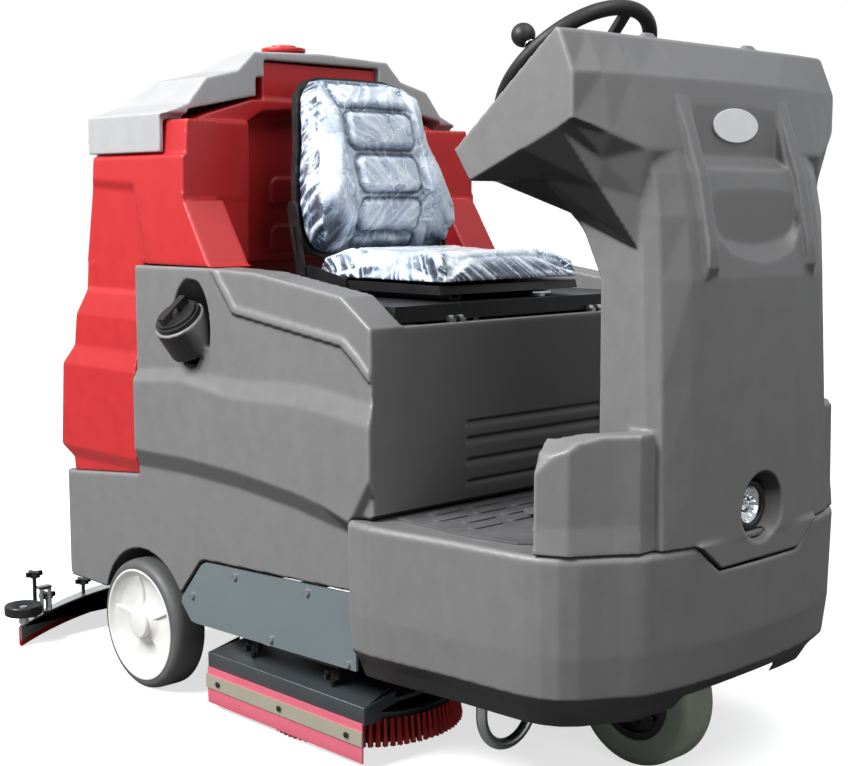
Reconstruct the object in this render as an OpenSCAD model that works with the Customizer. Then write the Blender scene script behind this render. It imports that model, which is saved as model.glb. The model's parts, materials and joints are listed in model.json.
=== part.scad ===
/* [Overall] */
// Height of the driver's deck above the ground
deck_z = 508; // [500:1:516]
// Height of the underside of the front body
front_bottom_z = 190; // [186:1:200]
// Half width of the grey rear body at its flat side
side_x = 462; // [458:1:464]
// Sharpness of the circles, segments per turn
round_fn = 48; // [36:4:64]

/* [Wheels] */
// Diameter of each rear wheel
rear_wheel_d = 300; // [280:2:304]
// Width of each rear tyre
rear_wheel_w = 84; // [70:1:85]
// Outside face of the rear wheels, from the centre plane
rear_wheel_out = 480; // [476:1:484]
// Distance from the drive wheel's axle to the rear axle
wheelbase = 1080; // [1070:1:1090]
// Diameter of the front drive wheel
front_wheel_d = 284; // [270:2:286]
// Width of the front tyre
front_wheel_w = 90; // [80:1:92]

/* [Brush deck] */
// Diameter of each disc brush at the tips of its bristles
brush_d = 428; // [400:2:430]
// Distance of each brush centre from the centre plane
brush_x = 222; // [219:1:224]
// Distance of the brush centres behind the drive wheel's axle
brush_y = 590; // [580:1:600]
// Number of bristle tufts around the outer row
tufts = 40; // [24:2:48]

/* [Squeegee] */
// Half width of the squeegee's rubber blades
squeegee_half = 520; // [480:5:520]
// How far the ends of the blades sweep forward of the middle
squeegee_sweep = 195; // [181:2:199]
// Diameter of the guide rollers
roller_d = 94; // [88:2:96]

/* [Seat and steering] */
// Width of the seat cushion
seat_w = 436; // [400:2:440]
// Angle of the backrest behind vertical
back_angle = 12; // [8:1:14]
// Outer diameter of the steering wheel
steer_d = 372; // [350:2:376]
// Thickness of the steering wheel's grip
grip_d = 30; // [26:1:32]
// Tilt of the steering wheel's axis behind vertical
steer_tilt = 43; // [42:1:44]

/* [Hidden] */

$fn = round_fn;
// The parts are laid out from the drive wheel's axle line, then moved so that the origin is
// under the middle of the machine.
y_front = -268;
sq_y = 1752;
y_rear = sq_y + 48;
yc = (y_front + y_rear) / 2;
wr = rear_wheel_d / 2;
fr = front_wheel_d / 2;

// Colours
grey = [0.42, 0.42, 0.43];
dgrey = [0.30, 0.30, 0.31];
red = [0.80, 0.13, 0.14];
pale = [0.82, 0.82, 0.83];
black = [0.06, 0.06, 0.07];
steel = [0.62, 0.64, 0.66];

module lay() { translate([0, -yc, 0]) children(); }
module both() { children(); mirror([1, 0, 0]) children(); }
// Prisms along X, Y and Z from outlines in (y, z), (x, z) and (x, y)
module prx(p, x0, x1) { translate([x0, 0, 0]) rotate([90, 0, 90]) linear_extrude(x1 - x0) polygon(p); }
module pry(p, y0, y1) { translate([0, y1, 0]) rotate([90, 0, 0]) linear_extrude(y1 - y0) polygon(p); }
module prz(p, z0, z1) { translate([0, 0, z0]) linear_extrude(z1 - z0) polygon(p); }
module box(a, b) { translate(a) cube(b - a); }
module cyx(r, x0, x1, y, z) { translate([x0, y, z]) rotate([0, 90, 0]) cylinder(r = r, h = x1 - x0); }
module cyy(r, y0, y1, x, z) { translate([x, y1, z]) rotate([90, 0, 0]) cylinder(r = r, h = y1 - y0); }
module cyz(r, z0, z1, x, y) { translate([x, y, z0]) cylinder(r = r, h = z1 - z0); }
// Outline mirrored about the Z axis of the (x, z) plane or the Y axis of the plan
function mirr(h) = concat(h, [for (i = [len(h) - 1:-1:0]) if (abs(h[i][0]) > 0.01) [-h[i][0], h[i][1]]]);
// Corner cutting that rounds an open chain and keeps its ends
function cut1(p) = concat([p[0]], [for (i = [0:len(p) - 2]) for (t = [0.25, 0.75]) p[i] * (1 - t) + p[i + 1] * t], [p[len(p) - 1]]);
function soft(p, k) = k == 0 ? p : soft(cut1(p), k - 1);
function vsum(v, i = 0) = i >= len(v) ? [0, 0, 0] : v[i] + vsum(v, i + 1);
function normal_of(r) = vsum([for (i = [0:len(r) - 1]) cross(r[i], r[(i + 1) % len(r)])]);
function turned(f) = [for (i = [len(f) - 1:-1:0]) f[i]];
// Closed skin through rings of equal length, with flat ends; the rings may run either way round
module skin(rings) {
  n = len(rings[0]);
  m = len(rings);
  pts = [for (r = rings) for (p = r) p];
  sides = [for (i = [0:m - 2]) for (j = [0:n - 1]) for (t = [0, 1])
    let (a = i * n + j, b = i * n + (j + 1) % n, c = a + n, d = b + n) t == 0 ? [a, b, d] : [a, d, c]];
  f = concat([[for (j = [n - 1:-1:0]) j]], sides, [[for (j = [0:n - 1]) (m - 1) * n + j]]);
  ccw = normal_of(rings[0]) * (vsum(rings[m - 1]) - vsum(rings[0])) > 0;
  polyhedron(points = pts, faces = ccw ? [for (q = f) turned(q)] : f);
}
function lift(p, z) = [for (q = p) [q[0], q[1], z]];
// Outline in (y, z) placed at a distance x
function atx(p, x) = [for (q = p) [x, q[0], q[1]]];
function aty(p, y) = [for (q = p) [q[0], y, q[1]]];

// ---------------------------------------------------------------- front body
// Half outlines of the front body in plan, rear corner to front middle, going round the left side
fb_top = [[-482, 346], [-491, 290], [-484, 230], [-466, 100], [-456, -20], [-446, -95], [-418, -152], [-345, -198], [-308, -226], [-288, -235], [-204, -254], [-100, -265], [0, -268]];
fb_low = [[-437, 346], [-437, 300], [-430, 230], [-416, 110], [-410, 0], [-404, -70], [-372, -125], [-300, -160], [-272, -178], [-250, -182], [-180, -186], [-90, -187], [0, -187]];
function fb_mix(f, g) = [for (i = [0:len(fb_top) - 1]) let (p = fb_top[i] * f + fb_low[i] * (1 - f))
  [p[0] * (1 - g / 480), p[1] < 0 ? p[1] * (1 - g / 268) : p[1]]];
function fb_full(f, g) = let (h = soft(fb_mix(f, g), 1)) mirr(h);
module front_outer() {
  skin([lift(fb_full(0, 0), front_bottom_z), lift(fb_full(0.35, 0), 225), lift(fb_full(0.78, 0), 252),
    lift(fb_full(0.93, 0), 330), lift(fb_full(1, 0), deck_z - 8), lift(fb_full(1, 6), deck_z)]);
}
module front_cavity() {
  skin([lift(fb_full(0, 9), front_bottom_z - 5), lift(fb_full(0.35, 9), 225), lift(fb_full(0.78, 9), 252),
    lift(fb_full(0.93, 9), 330), lift(fb_full(1, 9), deck_z - 14)]);
}
module front_body() {
  color(grey) lay() difference() {
    front_outer();
    intersection() {
      front_cavity();
      union() { box([-600, -400, 0], [600, 330, deck_z - 13]); box([-420, 300, 0], [420, 400, deck_z - 40]); }
    }
    // shallow arch in the front lower edge
    pry([[-165, 150], [-150, 216], [150, 216], [165, 150]], -300, -120);
    // seam pocket in the front face where the column's tongue drops in
    pry([[-191, deck_z + 2], [-126, deck_z - 51], [126, deck_z - 51], [191, deck_z + 2]], -300, -245);
    // passage for the steering column
    cyz(34, deck_z - 60, deck_z + 5, 0, -140);
    // slot for the two pedals' arms
    box([-245, 37, deck_z - 60], [-131, 66, deck_z + 5]);
    box([131, 37, deck_z - 60], [245, 66, deck_z + 5]);
  }
}
module capsule(x, y, l, w, a) { translate([x, y, 0]) rotate([0, 0, a]) { square([l - w, w], center = true); for (s = [-1, 1]) translate([s * (l - w) / 2, 0]) circle(d = w, $fn = 24); } }
module floor_mat() {
  color(dgrey) lay() difference() {
    union() {
      translate([0, 0, deck_z]) linear_extrude(4) polygon([[-410, 284], [-418, 90], [-400, -20], [-360, -60], [-235, -60], [-235, -30], [235, -30], [235, -60], [360, -60], [400, -20], [418, 90], [410, 284]]);
      translate([0, 0, deck_z + 4]) linear_extrude(3) for (r = [0:3]) for (c = [-3:3])
        capsule(c * 108 + (r % 2) * 30 - 15, 118 + r * 46, 84, 24, 0);
    }
    box([-249, 36, 400], [-127, 70, 600]);
    box([127, 36, 400], [249, 70, 600]);
  }
}

// ---------------------------------------------------------------- column fairing
// Dash hood: outlines in (y, z) at stations from the end of the dash to the centre plane.
// Order: front lower edge, front crease, ridge, rear corner, rear tip, rear lower edge, underside
hood_st = [404, 340, 272, 254, 150, 0];
hood_out = [
  [[-140, 1252], [-140, 1328], [-110, 1398], [-102, 1404], [-78, 1386], [138, 1206], [99, 1150], [-28, 1204], [-110, 1239], [-128, 1247]],
  [[-171, 1229], [-152, 1329], [-113, 1400], [-103, 1405], [-79, 1387], [138, 1206], [99, 1150], [-27, 1150], [-143, 1139], [-154, 1186]],
  [[-195, 1204], [-160, 1330], [-117, 1400], [-103, 1405], [-80, 1388], [138, 1206], [99, 1150], [-25, 1093], [-178, 1032], [-182, 1120]],
  [[-198, 1204], [-162, 1330], [-117, 1400], [-103, 1405], [-80, 1388], [138, 1206], [99, 1150], [-28, 1094], [-91, 1012], [-150, 1000]],
  [[-202, 1204], [-170, 1330], [-117, 1400], [-103, 1405], [-80, 1388], [138, 1206], [99, 1150], [-28, 1094], [-91, 1012], [-150, 1000]],
  [[-203, 1204], [-172, 1330], [-117, 1400], [-103, 1405], [-80, 1388], [138, 1206], [99, 1150], [-28, 1094], [-91, 1012], [-150, 1000]]];
module dash_hood() {
  skin(concat([for (i = [0:5]) atx(hood_out[i], -hood_st[i])], [for (i = [4:-1:0]) atx(hood_out[i], hood_st[i])]));
}
// Shield and column: half plans from the deck upwards, leaning back with height
module shield_front() {
  skin([
    lift(mirr([[-270, -95], [-272, -208], [-268, -238], [-204, -254], [-100, -264.5], [0, -268]]), deck_z),
    lift(mirr([[-270, -95], [-272, -203], [-266, -232], [-204, -251], [-100, -262], [0, -265]]), 620),
    lift(mirr([[-270, -95], [-272, -196], [-261, -225], [-204, -246], [-100, -259], [0, -261]]), 800),
    lift(mirr([[-270, -93], [-272, -188], [-258, -217], [-204, -245], [-100, -256], [0, -258]]), 980),
    lift(mirr([[-270, -40], [-272, -182], [-258, -210], [-204, -232], [-100, -240], [0, -241]]), 1090),
    lift(mirr([[-269, -30], [-270, -168], [-256, -196], [-204, -214], [-100, -218], [0, -219]]), 1163),
    lift(mirr([[-268, -20], [-268, -150], [-254, -172], [-204, -187], [-100, -190], [0, -190]]), 1234)]);
}
module leg_guard() {
  // wing wall beside the driver's foot, following the front body's outline
  intersection() {
    skin([lift([[-446, -95], [-418, -151], [-345, -197], [-308, -225], [-258, -222], [-248, -190], [-300, -160], [-352, -136], [-392, -100], [-398, -84]], deck_z + 0.4),
      lift([[-440, -92], [-413, -147], [-342, -192], [-306, -221], [-258, -218], [-248, -186], [-300, -158], [-350, -134], [-388, -99], [-394, -82]], 560),
      lift([[-440, -92], [-412, -147], [-340, -191], [-304, -219], [-258, -214], [-248, -182], [-300, -158], [-350, -134], [-388, -99], [-394, -82]], 719)]);
    pry([[-500, 500], [-500, 560], [-446, 600], [-440, 648], [-424, 684], [-396, 707], [-356, 717], [-200, 717], [-200, 500]], -400, 100);
  }
}
rib = [[-245, 960], [-256, 1000], [-255, 1036], [-247, 1074], [-240, 1110], [-229, 1160], [-217, 1193], [-200, 1243], [-180, 1295], [-147, 1348], [-112, 1396], [-102, 1414], [-73, 1393], [-90, 1365], [-120, 1330], [-150, 1270], [-180, 1190], [-190, 960]];
// Half outlines in (x, z) of the front recess, at the skin and at its floor
rec_a = [[-139, 1400], [-139, 1062], [-128, 1036], [-98, 1012], [-50, 1000], [0, 996]];
rec_b = [[-132, 1400], [-132, 1082], [-118, 1066], [-92, 1052], [-48, 1044], [0, 1042]];
module front_recess() {
  difference() {
    union() {
      skin([aty(mirr(rec_a), -262), aty(mirr(rec_b), -222)]);
      pry(mirr(rec_a), -320, -261.5);
      pry(mirr(rec_b), -222.5, -160);
    }
    prx([[-100, 900], [-229, 940], [-228, 1050], [-226, 1164], [-182, 1192], [-182, 1290], [-192, 1300], [-300, 1300], [-300, 1500], [-100, 1500]], -200, 200);
  }
}
module column_fairing() {
  color(grey) lay() difference() {
    union() {
      difference() {
        union() { dash_hood(); shield_front(); }
        front_recess();
      }
      both() prx(rib, 140, 172);
      both() leg_guard();
      // tongue that drops into the front body's seam
      pry([[-190, deck_z + 4], [-186, deck_z - 1], [-123, deck_z - 48], [123, deck_z - 48], [186, deck_z - 1], [190, deck_z + 4]], -264, -247);
    }
    // hollow inside of the column, open at the deck
    box([-250, -205, deck_z - 100], [250, -107, 890]);
    box([-250, -178, 880], [250, -104, 1150]);
    box([-250, -160, 1140], [250, -104, 1225]);
    // hollow inside of the dash
    prx([[-150, 1150], [-150, 1310], [-118, 1358], [-92, 1362], [108, 1200], [80, 1168], [-20, 1130]], -250, 250);
    both() skin([
      atx([[-148, 1218], [-148, 1308], [-118, 1358], [-92, 1362], [108, 1200], [80, 1180]], -249),
      atx([[-126, 1270], [-126, 1320], [-104, 1370], [-90, 1364], [104, 1200], [82, 1180]], -386)]);
    // opening in the sloping top for the instrument panel
    panel_place() box([-300, 36, -60], [300, 246, 30]);
    // headlight pocket
    translate([0, -262, 556]) rotate([90, 0, 0]) translate([0, 0, -62]) cylinder(r1 = 36, r2 = 78, h = 90);
  }
}
module panel_place() { translate([0, -80, 1388]) rotate([-39.9, 0, 0]) children(); }
// The steering axis leaves the panel here; the rim stands steer_h above it
steer_h = 165;
module steer_place() { translate([0, 84, 1247]) rotate([-steer_tilt, 0, 0]) children(); }
module dash_panel() {
  color(black) lay() difference() {
    panel_place() union() {
      box([-299.5, 36.5, -8], [299.5, 245.5, 2]);
      box([-60, 150, -30], [60, 245, -7]);
    }
    // holes for the column and the controls
    steer_place() translate([0, 0, -140]) cylinder(r = 24, h = 260);
    panel_place() {
      translate([175, 92, -60]) cylinder(r = 12, h = 100);
      translate([235, 120, -60]) cylinder(r = 12, h = 100);
      box([-201, 168, -60], [-159, 192, 60]);
      box([-226, 66, -1], [-114, 134, 60]);
    }
  }
}
module dash_display() {
  color([0.10, 0.13, 0.14]) lay() panel_place() box([-225.5, 66.5, -1], [-114.5, 133.5, 3.5]);
}
module key_switch() {
  color(steel) lay() panel_place() translate([175, 92, 0]) {
    translate([0, 0, -30]) cylinder(r = 11.6, h = 36);
    box([-2, -12, 6], [2, 12, 30]);
  }
}
module emergency_stop() {
  color(red) lay() panel_place() translate([235, 120, 0]) {
    translate([0, 0, -30]) cylinder(r = 11.6, h = 44);
    translate([0, 0, 14]) cylinder(r = 20, h = 12);
  }
}
module direction_switch() {
  color(black) lay() panel_place() difference() {
    union() {
      box([-200.5, 169.4, -6], [-159.5, 190.6, 4]);
      translate([-200.5, 180, 3]) rotate([0, 90, 0]) cylinder(r = 7, h = 41);
    }
    translate([-201.5, 180, -6]) rotate([0, 90, 0]) cylinder(r = 2, h = 43);
  }
}
module badge_plate() {
  // bare oval plate on the shield
  color(pale) lay() translate([0, -182.3, 1251]) rotate([90, 0, 0]) linear_extrude(4) scale([1, 0.44]) circle(r = 70);
}
module headlight_bezel() {
  color(black) lay() translate([0, -262, 556]) rotate([90, 0, 0]) difference() {
    translate([0, 0, -61.6]) cylinder(r1 = 35.5, r2 = 46, h = 39.6);
    translate([0, 0, -44]) cylinder(r = 36, h = 40);
  }
}
module headlight_lens() {
  color([0.9, 0.92, 0.95, 0.6]) lay() translate([0, -262, 556]) rotate([90, 0, 0]) {
    translate([0, 0, -43.6]) cylinder(r = 35.6, h = 14);
    translate([0, 0, -29.7]) cylinder(r1 = 35.6, r2 = 27, h = 5.7);
  }
}
module steering_column() {
  color(steel) lay() {
    difference() {
      union() {
        steer_place() translate([0, 0, -70]) cylinder(r = 23.5, h = 130);
        box([-16, -156, 1190], [16, 60, 1206]);
      }
      steer_place() translate([0, 0, -10]) cylinder(r = 14.05, h = 90);
    }
    cyz(15, 352, 1200, 0, -140);
    // small sprocket and foot flange
    cyz(26, 352, 355, 0, -140);
    cyz(17, 358, 366, 0, -140);
  }
}
module steering_chain() {
  // chain between the column's small sprocket and the drive unit's large one
  color(steel) lay() translate([0, 0, 358]) linear_extrude(8) difference() {
    hull() { translate([0, -140]) circle(r = 23, $fn = 32); circle(r = 75, $fn = 60); }
    hull() { translate([0, -140]) circle(r = 17.5, $fn = 32); circle(r = 69.5, $fn = 60); }
  }
}

// ---------------------------------------------------------------- steering wheel
module steering_wheel() {
  r = (steer_d - grip_d) / 2;
  color(black) lay() steer_place() {
    translate([0, 0, steer_h]) rotate_extrude() translate([r, 0]) circle(d = grip_d, $fn = 32);
    for (a = [30, 150, 270]) rotate([0, 0, a]) translate([0, 0, steer_h - 26]) rotate([0, -7, 0]) box([30, -13, -5], [r - 4, 13, 5]);
    translate([0, 0, 96]) cylinder(r1 = 26, r2 = 40, h = 36);
    translate([0, 0, 132]) cylinder(r = 44, h = 16);
    translate([0, 0, -9]) cylinder(r = 14, h = 108);
  }
}
knob_a = 196;
module spinner_place() { steer_place() rotate([0, 0, knob_a]) translate([(steer_d - grip_d) / 2, 0, steer_h + grip_d / 2]) children(); }
module spinner_knob() {
  color(black) lay() spinner_place() {
    translate([0, 0, 0.4]) cylinder(r = 11, h = 10);
    translate([0, 0, 26]) sphere(d = 47);
  }
}

// ---------------------------------------------------------------- drive unit
module drive_fork() {
  color(dgrey) lay() difference() {
    union() {
      cyz(88, 312, 328, 0, 0);
      cyz(30, 327, 342.6, 0, 0);
      cyz(20, 342, 356, 0, 0);
      cyz(69, 356, 368, 0, 0);
      box([52, -60, 110], [70, 60, 312.5]);
      cyx(58, 52, 70, 0, fr);
      box([-60, -60, 296], [70, 60, 312.5]);
    }
    cyx(20.05, 40, 90, 0, fr);
  }
}
module drive_motor() {
  color(black) lay() difference() {
    union() { cyx(52, 70, 146, 0, fr); cyx(40, 146, 152, 0, fr); }
    cyx(22, 69, 88, 0, fr);
  }
}
module front_tyre() {
  color([0.45, 0.49, 0.45]) lay() translate([0, 0, fr]) rotate([0, 90, 0]) rotate_extrude($fn = 64)
    polygon([[88, -front_wheel_w / 2], [fr - 12, -front_wheel_w / 2], [fr - 3, -front_wheel_w / 2 + 5], [fr, -front_wheel_w / 2 + 14], [fr, front_wheel_w / 2 - 14], [fr - 3, front_wheel_w / 2 - 5], [fr - 12, front_wheel_w / 2], [88, front_wheel_w / 2]]);
}
module front_hub() {
  color(black) lay() translate([0, 0, fr]) rotate([0, 90, 0]) {
    difference() {
      translate([0, 0, -40]) cylinder(r = 88, h = 80);
      translate([0, 0, -41]) cylinder(r = 74, h = 19);
    }
    translate([0, 0, -38]) cylinder(r = 36, h = 20);
    for (a = [0:45:315]) rotate([0, 0, a]) translate([56, 0, -30]) cylinder(r = 7, h = 12);
    translate([0, 0, 39]) cylinder(r = 20, h = 46);
  }
}

// ---------------------------------------------------------------- rear wheels
module rear_tyre(s) {
  o = rear_wheel_out; w = rear_wheel_w;
  color([0.38, 0.39, 0.39]) lay() mirror([s > 0 ? 0 : 1, 0, 0]) translate([o - w, wheelbase, wr]) rotate([0, 90, 0]) rotate_extrude($fn = 72)
    polygon([[118, 0], [wr - 10, 0], [wr - 2, 8], [wr, 16], [wr, w - 18], [wr - 3, w - 8], [wr - 12, w - 1], [124, w], [118, w - 4]]);
}
module rear_rim(s) {
  o = rear_wheel_out; w = rear_wheel_w;
  color(pale) lay() mirror([s > 0 ? 0 : 1, 0, 0]) translate([o - w, wheelbase, wr]) rotate([0, 90, 0]) {
    difference() {
      rotate_extrude($fn = 72) polygon([[15.05, 4], [34, 4], [34, 30], [104, 30], [104, 4], [118, 4], [118, w - 4], [110, w - 2], [104, w - 8], [86, w - 22], [60, w - 28], [36, w - 22], [34, w - 8], [28, w - 3], [15.05, w - 3]]);
      for (a = [0:72:288]) rotate([0, 0, a + 36]) translate([72, 0, 20]) cylinder(r = 10, h = 12);
    }
    for (a = [0:72:288]) rotate([0, 0, a]) translate([32, -3, w - 30]) cube([72, 6, 9]);
    translate([0, 0, w - 3]) cylinder(r1 = 28, r2 = 24, h = 3);
  }
}
module rear_axle() {
  color(steel) lay() {
    cyx(15, -(rear_wheel_out - 6), rear_wheel_out - 6, wheelbase, wr);
    both() {
      box([300, wheelbase - 30, 180], [312, wheelbase + 30, 340]);
      difference() { cyx(34, 300, 312, wheelbase, wr); cyx(15, 290, 320, wheelbase, wr); }
      cyx(22, 312, 330, wheelbase, wr);
    }
  }
}

// ---------------------------------------------------------------- chassis
module chassis_frame() {
  color(black) lay() difference() {
    union() {
      both() difference() { box([290, -40, 340], [330, 1400, 380]); box([294, -60, 344], [326, 1420, 376]); }
      for (y = [120, 820, 1360]) box([-290, y, 344], [290, y + 40, 376]);
      box([-290, -110, 343], [290, 119, 352]);
      box([-60, -180, 343], [60, -109, 352]);
      both() box([289, -110, 343], [330, -41, 352]);
      // bracket for the brush deck's guide posts, hung from a cross tube
      box([-290, 570, 344], [290, 610, 376]);
      box([-20, 580, 305], [20, 600, 345]);
      box([-150, 560, 296], [150, 620, 306]);
      // pivot for the squeegee arm
      box([-80, 1300, 190], [80, 1366, 202]);
      box([-80, 1350, 201], [80, 1366, 350]);
    }
    cyz(20.05, 330, 360, 0, 0);
    both() cyz(10.1, 290, 380, 110, 590);
    cyz(12.05, 180, 210, 0, 1318);
  }
}
module battery_pack() {
  color([0.12, 0.12, 0.13]) lay() for (i = [0, 1]) for (j = [0, 1]) {
    box([-290 + i * 295, 365 + j * 205, 394], [-5 + i * 295, 565 + j * 205, 664]);
    for (k = [-1, 1]) cyz(9, 664, 680, -148 + i * 295 + k * 90, 465 + j * 205);
  }
}

// ---------------------------------------------------------------- solution tank
// Side view outline of the grey rear body
sol_side = [[294, 520], [300, 876], [385, 934], [655, 970], [800, 974], [1150, 972], [1150, 640], [1446, 640], [1450, 222], [1430, 206], [344, 206], [344, 512], [300, 512]];
sol_plan_rear = [[-470, 200], [-470, 1380], [-440, 1440], [-400, 1456], [400, 1456], [440, 1440], [470, 1380], [470, 200]];
// Stations along the side: distance, skin heights at the bottom and top, plateau heights at the bottom and top
bulge_st = [[291, 560, 742, 596, 690], [350, 470, 748, 503, 698], [438, 482, 757, 527, 707], [519, 494, 762, 539, 712], [714, 510, 751, 556, 707], [900, 515, 758, 562, 728], [1120, 510, 740, 558, 712]];
module side_bulge() {
  // middle of the side stands proud between a light upper and a dark lower slope
  skin([for (s = bulge_st) [[-side_x + 1.5, s[0], s[1]], [-side_x - 13, s[0], s[3]], [-side_x - 13, s[0], s[4]], [-side_x + 1.5, s[0], s[2]]]]);
}
module filler_place() { translate([-446, 884, 806]) rotate([0, -38, 6]) children(); }
module solution_tank() {
  color(grey) lay() difference() {
    union() {
      intersection() {
        prx(sol_side, -side_x, side_x);
        prz(sol_plan_rear, 0, 1200);
      }
      both() side_bulge();
      // raised bead that frames the upper field of the side
      both() prx([[786, 974], [716, 896], [376, 852], [332, 820], [300, 790], [300, 776], [338, 808], [382, 840], [724, 884], [800, 972]], -side_x - 5, -side_x + 1);
      filler_place() cylinder(r = 58, h = 74);
    }
    // scoop around the filler neck
    difference() {
      filler_place() translate([6, 0, 0]) cylinder(r = 72, h = 120);
      filler_place() cylinder(r = 58, h = 130);
      box([-600, 700, 600], [-300, 1000, 806]);
    }
    filler_place() translate([0, 0, -30]) cylinder(r = 44, h = 120);
    filler_place() translate([0, 0, 74]) cylinder(r = 62, h = 60);
    // seat well between the two shoulders, and battery bay under it
    box([-376, 250, 876], [376, 1200, 1000]);
    box([-320, 318, 390], [320, 800, 900]);
    // underside: room for the rails, the brush deck and the axle
    box([-340, 300, 100], [340, 1500, 384]);
    both() box([-440, 300, 100], [-330, 900, 384]);
    both() prx([[845, 338], [300, 364], [300, 100], [945, 100], [945, 222], [941, 243], [862, 331]], -500, -439);
    box([-441, 880, 100], [441, 960, 300]);
    both() box([-500, 200, 350], [-319, 346.4, deck_z + 0.4]);
    // wheel arches
    both() {
      cyx(172, 360, 520, wheelbase, wr);
      box([360, wheelbase - 172, 100], [520, wheelbase + 172, wr]);
    }
    // liquid space in both sides and across the back
    both() box([352, 360, 430], [448, 1080, 860]);
    box([-448, 812, 430], [448, 1080, 860]);
    box([-430, 1090, 330], [430, 1430, 440]);
    box([-352, 812, 396], [352, 1100, 440]);
    // louvres pressed into the front of the seat box
    for (z = [552, 595, 638, 672]) box([-208, 285, z - 6], [212, 300 + (z - 552) * 0.015, z + 6]);
    // seat for the recovery tank
    prx([[1092, 1100], [1092, 497], [1600, 446], [1600, 1100]], -600, 600);
  }
}

// ---------------------------------------------------------------- recovery tank
function rt_ring(x, y0, y1, z) = lift(mirr([[0, y0], [-x, y0], [-x, y1 - 60], [-x + 34, y1 - 12], [-x + 78, y1], [0, y1]]), z);
module recovery_tank() {
  color(red) lay() difference() {
    union() {
      // lower rear block with its stepped sides
      skin([rt_ring(454, 1093.5, 1440, 450), rt_ring(454, 1093.5, 1445, 500), rt_ring(468, 1093.5, 1477, 530), rt_ring(468, 1093.5, 1462, 729),
        rt_ring(457, 1093.5, 1425, 774), rt_ring(456, 1093.5, 1415, 849), rt_ring(446, 1093.5, 1381, 906), rt_ring(446, 1093.5, 1374, 976)]);
      // upper block
      skin([rt_ring(450, 800, 1371, 976), rt_ring(448, 800, 1344, 1134), rt_ring(446, 800, 1338, 1216)]);
      skin([lift(mirr([[0, 800], [-436, 800], [-436, 1280], [-400, 1316], [0, 1316]]), 1215),
        lift(mirr([[0, 800], [-430, 800], [-430, 1240], [-390, 1290], [0, 1290]]), 1292)]);
      // centre of the front wall, up under the lid
      box([-174, 990, 1280], [174, 1060, 1432]);
      pry([[-386, 1290], [-330, 1310], [-205, 1346], [-170, 1346], [170, 1346], [205, 1346], [330, 1310], [386, 1290], [386, 1250], [-386, 1250]], 985, 1060);
    }
    // sloping foot on the solution tank
    prx([[1000, 300], [1000, 506.7], [1092, 497.4], [1600, 446.4], [1600, 300]], -600, 600);
    // slanted front of the two wings
    prx([[700, 900], [816, 978], [829, 980], [918, 1117], [918, 1500], [700, 1500]], -500, 500);
    // bowed front wall behind the seat
    prz([[-446, 700], [-446, 919], [-200, 984], [200, 984], [446, 919], [446, 700]], 1117, 1500);
    prz([[-340, 700], [-340, 950], [-200, 984], [200, 984], [340, 950], [340, 700]], 900, 1118);
    // deep recess with rounded top corners
    skin([
      aty(mirr([[-258, 930], [-270, 1118], [-262, 1230], [-232, 1290], [-180, 1322], [0, 1334]]), 980),
      aty(mirr([[-246, 930], [-256, 1118], [-248, 1222], [-220, 1278], [-172, 1306], [0, 1318]]), 1042)]);
    // recessed field on each side
    both() skin([
      atx([[1330, 1183], [1092, 1170], [1010, 908], [1400, 908]], -455),
      atx([[1330, 1150], [1126, 1138], [1062, 908], [1400, 908]], -439)]);
    // inside of the tank, open at the top
    box([-420, 1064, 990], [420, 1276, 1500]);
    box([-420, 1110, 520], [420, 1360, 1000]);
    // room for the suction motor in the top
    // port of the suction hose and drain
    cyy(26, 1270, 1500, 150, 1180);
    // notch for the lid's latch
    box([-206, 970, 1346], [-176, 1008, 1396]);
  }
  color(red) lay() for (z = [1000, 1112]) pry([[-112, z], [-112, z + 44], [-100, z + 56], [100, z + 56], [112, z + 44], [112, z]], 1034, 1043.5);
}
module suction_port() {
  color(black) lay() difference() {
    union() {
      cyy(25.9, 1277, 1390, 150, 1180);
      cyy(34, 1345, 1353, 150, 1180);
    }
    cyy(20, 1270, 1400, 150, 1180);
  }
}

// ---------------------------------------------------------------- lid
lid_front = mirr([[-449, 1221.4], [-449, 1306], [-389, 1330], [-339, 1388], [-251, 1409], [-205, 1453], [0, 1460]]);
module tank_lid() {
  color(pale) lay() difference() {
    intersection() {
      pry([for (p = lid_front) p], 900, 1400);
      union() {
        prx([[1352, 1221.4], [1352, 1242], [1300, 1300], [1235, 1345], [1160, 1400], [1080, 1440], [1000, 1462], [978, 1462], [978, 1308], [1001, 1300], [1003, 1221.4]], -460, 460);
      }
      prz(mirr([[-449, 900], [-449, 1290], [-420, 1340], [-380, 1352], [0, 1352]]), 1200, 1500);
    }
    // front cut-out over the tank's front wall
    pry([[-389, 1200], [-389, 1316], [-207, 1352], [-200, 1352], [-200, 1396], [-176, 1396], [-176, 1436], [176, 1436], [176, 1396], [200, 1396], [200, 1352], [207, 1352], [389, 1316], [389, 1200]], 970, 1062);
    // hollow underside
    intersection() {
      pry(mirr([[-441, 1200], [-441, 1300], [-384, 1322], [-333, 1378], [-246, 1400], [-200, 1444], [0, 1450]]), 1061, 1344);
      prx([[1344, 1200], [1344, 1240], [1294, 1292], [1228, 1336], [1156, 1390], [1078, 1430], [1061, 1434], [1061, 1200]], -460, 460);
    }
    box([-441, 1012, 1200], [441, 1062, 1297]);
    box([-437, 980, 1200], [437, 1020, 1292.6]);
    cyz(46, 1430, 1500, -70, 1040);
  }
}
module lid_cap() {
  color(red) lay() difference() {
    union() {
      cyz(45.6, 1440, 1466, -70, 1040);
      cyz(52, 1462.5, 1472, -70, 1040);
      cyz(30, 1472, 1478, -70, 1040);
    }
    cyz(38, 1430, 1456, -70, 1040);
  }
}
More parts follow.
